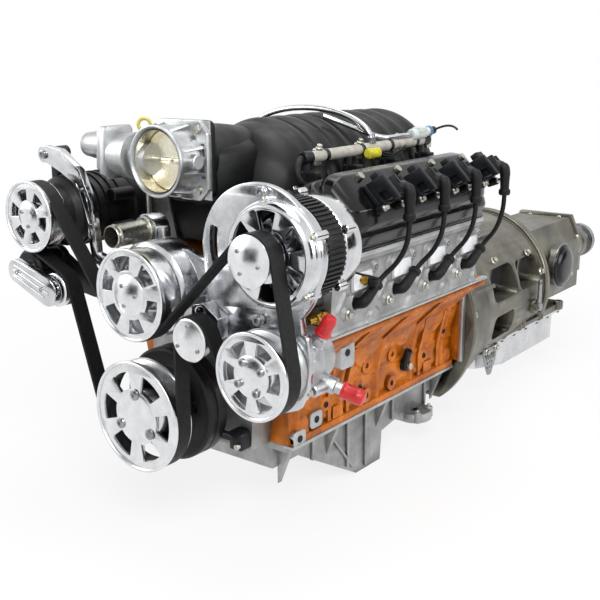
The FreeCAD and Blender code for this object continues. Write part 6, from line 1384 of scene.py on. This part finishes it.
def transmission():
    """The sealed case: soft edges, glossy dark plates in the pockets as painted shade, ribs round the bell,
    bolts, domed cover and pan.
    """
    ribs = []
    floors = []
    for side in (1, -1):
        for y0, y1, z0, z1 in ((650, 768, 22, 88), (784, 894, 22, 84), (650, 754, -58, -8)):
            floors.append(side_plate("pocket_floor", side, box_loop(y0 + 0.5, y1 - 0.5, z0 + 0.5, z1 - 0.5,
                15), 126, 129.2, 0.8))
            ribs.append(side_plate("pocket_rib", side, box_loop(y0 + 34, y0 + 40, z0, z1, 1), 128, 140, 1.2))
        ribs.append(side_plate("case_rib", side, box_loop(700, 930, -72, -64, 2), 140, 156, 1.4))
        for y in (660, 742, 836, 930, 1030):
            ribs.append(rod("rail_boss", (side * 148, y, -75.6), (side * 148, y, -54), 9.5, 1.4, 24))
    for angle in (20, 38, 55, 72, 90, 108, 125, 142, 160):
        a = math.radians(angle)
        out = Vector((math.cos(a), 0, math.sin(a)))
        wide = Vector((-math.sin(a), 0, math.cos(a))) * 2.6
        foot = [out * 176 + Vector((0, 533, 0)), out * 190 + Vector((0, 533, 0)),
            out * 180 + Vector((0, 600, 0)), out * 174 + Vector((0, 640, 0))]
        ribs.append(prism("bell_rib", [p - wide for p in foot], wide.normalized(), 0, 5.2, 1.4))
    ring = turned("case_ring", 0, 0, [(150, 913), (167, 914), (169, 917), (169, 932), (167, 935.2),
        (150, 935.2)], 110, 0.8)
    shape = bmesh.new()
    shape.from_mesh(ring)
    cut = bmesh.ops.bisect_plane(shape, geom=shape.verts[:] + shape.edges[:] + shape.faces[:],
        plane_co=at(0, 0, -70), plane_no=(0, 0, -1), clear_outer=True)
    bmesh.ops.holes_fill(shape, edges=[e for e in cut["geom_cut"] if isinstance(e, bmesh.types.BMEdge)],
        sides=0)
    shape.to_mesh(ring)
    shape.free()
    case = broken_edges("transmission_case", 2.4, 2, 40)
    axis = at(0, 0, 0)
    for vertex in case.vertices:
        reach = math.hypot(vertex.co.x - axis.x, vertex.co.z - axis.z) * 1000
        if SHAFT_R - 1 < reach < SHAFT_R + 2:
            vertex.co.x = axis.x + (vertex.co.x - axis.x) * (reach + SHAFT_ROOM) / reach
            vertex.co.z = axis.z + (vertex.co.z - axis.z) * (reach + SHAFT_ROOM) / reach
    piece("transmission_casting", [case, ring] + ribs, "engine", CASE_GREY, ["transmission_case"], 40)
    # The pocket plates are painted shade: dark sheets where the case's pockets fall in shadow.
    piece("case_pocket_floors", floors, "engine", POCKET_SHADE)
    x, y, z = 112.3, 1130.0, 8.0
    dome = loft("servo_dome", (x, y, z), (1, 0, 0), [("round", 53, 0), ("round", 53, 5), ("round", 51, 7),
        ("round", 47, 7.4), ("round", 45, 9), ("round", 42, 12.5), ("round", 34, 15), ("round", 20, 16.4),
        ("round", 6, 16.8)], 72)
    piece("servo_cover_black", [dome], "engine", COVER_BLACK, ["servo_cover"], 50)
    piece("servo_snap_ring", [loft("snap_ring", (x, y, z), (1, 0, 0), [("round", 55, 0.2), ("round", 55, 3),
        ("round", 50, 3.4), ("round", 50, 0.2)], 72, True)], "engine", STEEL)
    tail = turned("tail_casting", 0, 0, [(20.4, 1285.4), (74, 1285.4), (76, 1287), (76, 1295), (74, 1297.4),
        (62, 1300), (54, 1318), (46, 1370), (40, 1440), (42, 1444), (42, 1470), (40, 1475), (20.4, 1475)], 90,
        0.8)
    fins = []
    for angle in (0, 45, 90, 135, 180, 225, 315):
        a = math.radians(angle)
        out, wide = Vector((math.cos(a), 0, math.sin(a))), Vector((-math.sin(a), 0, math.cos(a))) * 2.2
        foot = [out * 50 + Vector((0, 1296, 0)), out * 72 + Vector((0, 1296, 0)),
            out * 46 + Vector((0, 1400, 0)), out * 36 + Vector((0, 1400, 0))]
        fins.append(prism("tail_fin", [p - wide for p in foot], wide.normalized(), 0, 4.4, 1.2))
    piece("tail_casting_finned", [tail, broken_edges("tail_housing", 1.2, 2, 40)] + fins, "engine", CASE_GREY,
        ["tail_housing"], 40)
    yoke = turned("yoke", 0, 0, [(12, 1478), (33, 1478), (34, 1480), (34, 1496.6), (44, 1497), (46, 1498.5),
        (46, 1503), (43, 1504), (43, 1507), (46, 1508), (46, 1513), (44.5, 1515), (31, 1515), (30, 1513),
        (30, 1500), (12, 1498)], 90, 0.4)
    piece("output_yoke", [yoke], "output", STEEL)
    seal = turned("yoke_seal", 0, 0, [(43.1, 1504.2), (45, 1504.4), (45, 1506.6), (43.1, 1506.8)], 72, 0)
    piece("output_yoke_groove", [seal], "output", DAMPER)
    piece("transmission_pan_bright", [broken_edges("transmission_pan", 1.6, 2, 40)], "engine", PAN_BRIGHT,
        ["transmission_pan"], 40)
    bolts = [((side * 143, y, -81.4), (0, 0, -1)) for side in (1, -1) for y in range(632, 1060, 59)]
    bolts += [((x, y, -81.4), (0, 0, -1)) for y in (618, 1056) for x in (-90, -30, 30, 90)]
    screws("pan_bolts_dark", bolts, "engine", DAMPER, 6.0, 6.0, "flange")
    bell = [((*polar((0, 0), 186.5, a),), a) for a in (8, 40, 72, 108, 140, 172)]
    screws("bell_bolts", [((p[0], 533, p[1]), REARWARD) for p, a in bell], "engine", ZINC, 8.5, 9, "flange")
    heads = [(side * 84 + side * 6, 1268.4, z) for side in (1, -1) for z in (-40, 10, 56)] + [(-40, 1268.4,
        100), (40, 1268.4, 100)]
    screws("tail_bolts", [(p, FRONTWARD) for p in heads], "engine", ZINC, 6.5, 7, "flange")
    plugs = [((156, 905, 42), (1, 0, 0.26)), ((140, 700, 100), (0.8, 0, 0.58)),
        ((140, 860, 90), (0.84, 0, 0.54)), ((97.5, 1010, -20), (1, 0, 0)), ((97.5, 1215, -30), (1, 0, 0))]
    screws("case_plugs", plugs, "engine", ZINC, 8, 9, "flange")


def shift_bracket():
    """The perforated bracket beside the pan and the lever above it."""
    holes = [circle(dy, dz, 2.6, 16) for dy in (664, 674, 684) for dz in (-112, -122)]
    outline = corner_rounded([(640, -84), (706, -84), (700, -112), (682, -140), (670, -140), (652, -106)], 5)
    flat = plate("bracket_flat", outline, holes, 0, 4, 0.6)
    middle = at(0, 0, 0)
    for vertex in flat.vertices:
        local = vertex.co - middle
        vertex.co = at(151 + local.y * 1000, local.x * 1000, local.z * 1000)
    folds = [side_plate("bracket_fold", 1, [(644 + 9 * i, -92), (647 + 9 * i, -92), (652 + 8 * i, -104),
        (649 + 8 * i, -104)], 154, 158, 0.6) for i in range(6)]
    lug = side_plate("bracket_lug", 1, box_loop(640, 706, -90, -76, 4), 146, 158, 1.2)
    piece("shift_bracket_steel", [flat, lug] + folds, "engine", STEEL)
    screws("bracket_bolts", [((158, 652, -83), (1, 0, 0)), ((158, 694, -83), (1, 0, 0))], "engine", ZINC, 7,
        7, "flange")


# Throttle and intake
def throttle():
    z = THROTTLE_Z
    bore = turned("throttle_bore", 0, z, [(53, -116), (53, -111), (50.5, -108), (50.5, -64), (56, -60),
        (56, -58), (45.2, -58), (45.2, -106), (48, -113), (50, -116.6)], 110, 0.4)
    flange_loop = corner_rounded([(-58, z - 56), (44, z - 60), (60, z - 44), (60, z + 40), (46, z + 58),
        (-44, z + 58), (-58, z + 44)], 8)
    pockets = [corner_rounded(loop, 3) for loop in ([(47, z - 26), (56, z - 26), (56, z - 6), (50.5, z - 6)],
        [(51, z + 6), (56, z + 6), (56, z + 24), (48, z + 24)], [(-24, z - 57), (-4, z - 57), (-4, z - 51.5),
        (-24, z - 49)], [(6, z - 58), (28, z - 58), (28, z - 49), (6, z - 51.5)])]
    flange = plate("throttle_flange", flange_loop, pockets + [circle(0, z, 47, 90)], -69, -58, 1.2)
    backing = plate("throttle_backing", [(-57, z - 57), (59, z - 59), (59, z + 57), (-57, z + 57)],
        [circle(0, z, 47, 90)], -61, -58, 0.4)
    belly = []
    for angle in (-62, -118, 62, 118, -20, 20):
        px, pz = polar((0, z), 50, angle)
        out = Vector((px, 0, pz - z)).normalized()
        side = Vector((out.z, 0, -out.x)) * 2.5
        foot = Vector((px, -68.5, pz)) + out * 9
        loop = [Vector((px, -106, pz)) - side, Vector((px, -68.5, pz)) - out * 2 - side, foot - side,
            Vector((px, -104, pz)) + out * 1.0 - side]
        belly.append(prism("throttle_gusset", loop, side.normalized(), 0, 5, 0.8))
    neck = loft("gear_neck", (-30, -85, z), (-1, 0, 0), [("round", 25, 0), ("round", 25, 34)], 40)
    drum = loft("gear_housing", (-62, -88, z + 2), (-1, 0, 0), [("round", 30, 0), ("round", 36, 2),
        ("round", 35, 14), ("round", 31, 42)], 40)
    gate = prism("motor_flange", [(-104, -120, z - 26), (-104, -116, z + 40), (-104, -112, z + 46),
        (-104, -64, z + 46), (-104, -60, z + 40), (-104, -60, z - 26), (-104, -66, z - 34),
        (-104, -112, z - 34)], Vector((-1, 0, 0)), 0, 14, 1.6)
    gate2 = prism("motor_cover", [(-118, -116, z - 20), (-118, -112, z + 38), (-118, -66, z + 40),
        (-118, -64, z - 22)], Vector((-1, 0, 0)), 0, 12, 3.0)
    can = loft("motor_can", (-128, -88, z + 14), (-1, 0, 0), [("round", 21, 0), ("round", 21, 30),
        ("round", 20, 33), ("round", 19, 46), ("round", 17.5, 48)], 40)
    boss = rod("shaft_boss", (44, -88, z), (62, -88, z), 11, 1.2)
    piece("throttle_casting", [bore, flange, backing, neck, drum, gate, gate2, can, boss] + belly, "engine",
        CAST_SMOOTH, ["throttle_body"])
    liner = turned("throttle_liner", 0, z, [(45.0, -112), (45.2, -112), (45.2, -59), (45.0, -59)], 110, 0)
    piece("throttle_liner_gold", [liner], "engine", GOLD)
    screws("throttle_bolts", [((sx * 46, -69, z + sz * 46), FRONTWARD) for sx in (-1, 1) for sz in (-1, 1)],
        "engine", ZINC, 5.0, 4.4, "flange")
    screws("motor_bolts", [((-117.6, y, z + dz), Vector((-1, 0, 0))) for y, dz in ((-110, -26), (-66, -26),
        (-110, 40), (-66, 40))], "engine", ZINC, 3.4, 3.0, "flange")
    disc = turned("throttle_disc", 0, z, [(0.01, -89.2), (43.5, -89.2), (44.4, -88.4), (44.4, -87.6),
        (43.5, -86.8), (0.01, -86.8)], 90, 0)
    shaft = rod("throttle_shaft", (-68, -88, z), (54, -88, z), 5)
    piece("throttle_disc_gold", [disc, shaft], "throttle", GOLD, ["throttle_plate"])
    screws("throttle_disc_screws", [((sx * 13, -92.8, z), FRONTWARD) for sx in (-1, 1)], "throttle", ZINC, 3,
        1.6, "button")


def intake():
    """The moulded manifold: a smooth front dome, then raised arched ribs over the runners, on a base."""
    rows = []
    y = 22.0
    for t in range(0, 19):
        a = math.pi / 2 * t / 18
        rows.append((22 + 84 * (1 - math.cos(a)), ARCH_R * math.sin(a)))
    start = 106.0
    ribs = 8
    pitch = (486 - start) / ribs
    for i in range(ribs):
        for k in range(1, 15):
            t = k / 14
            lift = 9.0 * math.sin(math.pi * t) ** 0.55 if 0 < t < 1 else 0.0
            rows.append((start + (i + t) * pitch, ARCH_R - 3 + lift - 1.2 * max(0, i - 4)))
    rows += [(492, ARCH_R - 14), (496, ARCH_R - 34), (498, 40)]
    angles = [math.radians(-14 + 208 * k / 64) for k in range(65)]

    def build(shape):
        loops = []
        for y, r in rows:
            loop = []
            for a in angles:
                wide = 1.0 + 0.05 * math.cos(a) ** 2
                loop.append(shape.verts.new(at(r * wide * math.cos(a), y, ARCH_Z + r * math.sin(a))))
            loops.append(loop)
        for near, far in zip(loops, loops[1:]):
            for i in range(len(angles)):
                j = (i + 1) % len(angles)
                shape.faces.new((near[i], near[j], far[j], far[i]))
        shape.faces.new(loops[0])
        shape.faces.new(loops[-1])
    dome = closed_mesh("intake_arch", build)
    base = [(-104, 226.5), (104, 226.5), (121, 250), (131, 284), (134, 318), (128, 324), (-128, 324),
        (-134, 318), (-131, 284), (-121, 250)]
    deck = plate("intake_deck", [(x * 0.99, z) for x, z in base], [], 40, 458, 2.5)
    neck = turned("intake_neck", 0, THROTTLE_Z, [(46, -57.6), (56, -57.6), (56, -40), (50, -30), (46.5, 20),
        (40, 70), (20, 74), (44, -20)], 90, 0.8)
    face = plate("intake_flange", corner_rounded([(-57, THROTTLE_Z - 57), (57, THROTTLE_Z - 57),
        (57, THROTTLE_Z + 57), (-57, THROTTLE_Z + 57)], 12), [circle(0, THROTTLE_Z, 46, 80)], -57.6, -46, 1.0)
    hood = plate("intake_throat", corner_rounded([(-52, 306), (52, 306), (57, 340), (52, 386), (26, 406),
        (-26, 406), (-52, 386), (-57, 340)], 22), [], -44, 60, 8)
    feet = []
    for side in (1, -1):
        for k in range(8):
            y = 62 + bank_start(side) + k * 52
            feet.append(prism("runner_rib", [(side * 118, y, 322), (side * 132, y, 316), (side * 128, y, 268),
                (side * 118, y, 262)], REARWARD, 0, 30, 4))
    piece("intake_moulding", [dome, deck, neck, face, hood] + feet, "engine", INTAKE_BLACK,
        ["intake_manifold"], 40)


crank_drive()
pump_drive()
alternator_drive()
steering_drive()
cooling_drive()
idler_drive()
tensioner()
ribbed_belt()
alternator()
front_brackets()
compressor()
block_sides()
head_sides()
ignition()
fuel_system()
valve_covers()
throttle()
intake()
steering_unit()
coolant_outlet()
small_fittings()
cast_pan()
transmission()
shift_bracket()


# Floor, light and camera
def background_rays(tree, path):
    """One for rays that show the plain background: the camera's, and those that metal and glass pass on."""
    seen = add_node(tree, "ShaderNodeMath", {"operation": "MAXIMUM"}, {0: (path, "Is Camera Ray"),
        1: (path, "Is Glossy Ray")})
    return add_node(tree, "ShaderNodeMath", {"operation": "MAXIMUM"},
        {0: (seen, 0), 1: (path, "Is Transmission Ray")})


def pale_floor():
    material, tree = new_material("pale_floor")
    place = add_node(tree, "ShaderNodeTexCoord")
    haze = add_node(tree, "ShaderNodeTexNoise", {"Scale": 2.0, "Detail": 2.0}, {"Vector": (place, "Object")})
    ramp = add_node(tree, "ShaderNodeValToRGB", None, {"Fac": (haze, "Fac")})
    ramp.color_ramp.elements[0].color = linear("#F4F4F4")
    ramp.color_ramp.elements[1].color = linear("#FAFAFA")
    paint = add_node(tree, "ShaderNodeBsdfDiffuse", None, {"Color": (ramp, "Color")})
    glow = add_node(tree, "ShaderNodeEmission", {"Color": (1, 1, 1, 1), "Strength": 1.0})
    path = add_node(tree, "ShaderNodeLightPath")
    seen = background_rays(tree, path)
    away = add_node(tree, "ShaderNodeVectorMath", {"operation": "LENGTH"}, {0: (place, "Object")})
    fade = add_node(tree, "ShaderNodeMapRange", {"From Min": 0.55, "From Max": 1.7, "To Min": 0.80,
        "To Max": 1.0}, {"Value": (away, "Value")})
    share = add_node(tree, "ShaderNodeMath", {"operation": "MULTIPLY"}, {0: (seen, 0), 1: (fade, "Result")})
    mix = add_node(tree, "ShaderNodeMixShader", None, {"Fac": (share, 0), 1: (paint, "BSDF"),
        2: (glow, "Emission")})
    add_node(tree, "ShaderNodeOutputMaterial", None, {"Surface": (mix, "Shader")})
    mesh = bpy.data.meshes.new("studio_floor")
    r = 14.0
    mesh.from_pydata([(-r, -r, 0), (r, -r, 0), (r, r, 0), (-r, r, 0)], [], [(0, 1, 2, 3)])
    mesh.materials.append(material)
    floor = bpy.data.objects.new("studio_floor", mesh)
    bpy.context.scene.collection.objects.link(floor)
    floor.location.z = -0.0005


def studio_world():
    """White round the horizon, greyer overhead, as a white room with a dim ceiling."""
    world = bpy.data.worlds.new("studio")
    world.use_nodes = True
    tree = world.node_tree
    tree.nodes.clear()
    place = add_node(tree, "ShaderNodeTexCoord")
    split = add_node(tree, "ShaderNodeSeparateXYZ", None, {"Vector": (place, "Generated")})
    ramp = add_node(tree, "ShaderNodeValToRGB", None, {"Fac": (split, "Z")})
    ramp.color_ramp.elements[0].position = 0.04
    ramp.color_ramp.elements[0].color = (0.95, 0.95, 0.95, 1)
    ramp.color_ramp.elements[1].position = 0.75
    ramp.color_ramp.elements[1].color = (0.16, 0.165, 0.17, 1)
    room = add_node(tree, "ShaderNodeBackground", {"Strength": 0.9}, {"Color": (ramp, "Color")})
    white = add_node(tree, "ShaderNodeBackground", {"Color": (1, 1, 1, 1), "Strength": 1.0})
    path = add_node(tree, "ShaderNodeLightPath")
    seen = background_rays(tree, path)
    mix = add_node(tree, "ShaderNodeMixShader", None, {"Fac": (seen, 0), 1: (room, "Background"),
        2: (white, "Background")})
    add_node(tree, "ShaderNodeOutputWorld", None, {"Surface": (mix, "Shader")})
    bpy.context.scene.world = world


def dark_card(name, place, target, width, height):
    """A black card that only reflections see: it draws the dark bands in polished metal."""
    mesh = bpy.data.meshes.new(name)
    w, h = width / 2, height / 2
    mesh.from_pydata([(-w, -h, 0), (w, -h, 0), (w, h, 0), (-w, h, 0)], [], [(0, 1, 2, 3)])
    material, tree = new_material(name)
    haze = add_node(tree, "ShaderNodeTexNoise", {"Scale": 3.0})
    ramp = add_node(tree, "ShaderNodeValToRGB", None, {"Fac": (haze, "Fac")})
    ramp.color_ramp.elements[0].color = linear("#141516")
    ramp.color_ramp.elements[1].color = linear("#2A2C2E")
    paint = add_node(tree, "ShaderNodeBsdfDiffuse", None, {"Color": (ramp, "Color")})
    add_node(tree, "ShaderNodeOutputMaterial", None, {"Surface": (paint, "BSDF")})
    mesh.materials.append(material)
    card = bpy.data.objects.new(name, mesh)
    bpy.context.scene.collection.objects.link(card)
    card.location = place
    card.rotation_euler = (Vector(target) - Vector(place)).to_track_quat("-Z", "Y").to_euler()
    card.visible_camera = False
    card.visible_shadow = False
    card.visible_diffuse = False


def softbox(name, place, target, width, height, watts):
    lamp = bpy.data.lights.new(name, "AREA")
    lamp.shape = "RECTANGLE"
    lamp.size = width
    lamp.size_y = height
    lamp.energy = watts
    holder = bpy.data.objects.new(name, lamp)
    bpy.context.scene.collection.objects.link(holder)
    holder.location = place
    holder.rotation_euler = (Vector(target) - Vector(place)).to_track_quat("-Z", "Y").to_euler()


def photo_camera():
    """The camera as fitted to the photograph: its place, its three axes and its lens."""
    right = Vector((0.7894, 0.6138, -0.0089))
    up = Vector((-0.1496, 0.2064, 0.967))
    back = Vector((0.5953, -0.762, 0.2547))
    data = bpy.data.cameras.new("photo_camera")
    data.sensor_width = 36.0
    data.lens = 961.03 / 600 * 36
    data.clip_end = 60
    camera = bpy.data.objects.new("photo_camera", data)
    bpy.context.scene.collection.objects.link(camera)
    turn = Matrix((right, up, back)).transposed().to_4x4()
    camera.matrix_world = Matrix.Translation(at(1027.17, -1090.60, 535.35)) @ turn
    bpy.context.scene.camera = camera


pale_floor()
studio_world()
softbox("key_softbox", (1.6, -1.9, 2.3), (0, 0.1, 0.3), 1.6, 1.2, 55)
softbox("fill_softbox", (-2.2, -1.6, 1.6), (0, -0.1, 0.3), 1.6, 1.6, 26)
softbox("side_softbox", (2.6, 0.8, 1.2), (0, 0.2, 0.2), 1.8, 1.0, 26)
softbox("top_softbox", (0.1, 0.3, 2.8), (0, 0.2, 0.3), 2.4, 1.4, 34)
dark_card("front_card", (-0.9, -2.6, 0.55), (0, 0.1, 0.3), 1.5, 1.0)
dark_card("side_card", (2.7, -0.5, 0.9), (0, 0.1, 0.3), 1.0, 1.3)
dark_card("right_card", (2.0, 2.2, 0.5), (0, 0.2, 0.3), 1.8, 0.9)
dark_card("top_card", (-0.5, -0.6, 2.6), (0, 0.1, 0.3), 1.6, 0.9)
photo_camera()
bpy.context.scene.view_settings.view_transform = "Standard"
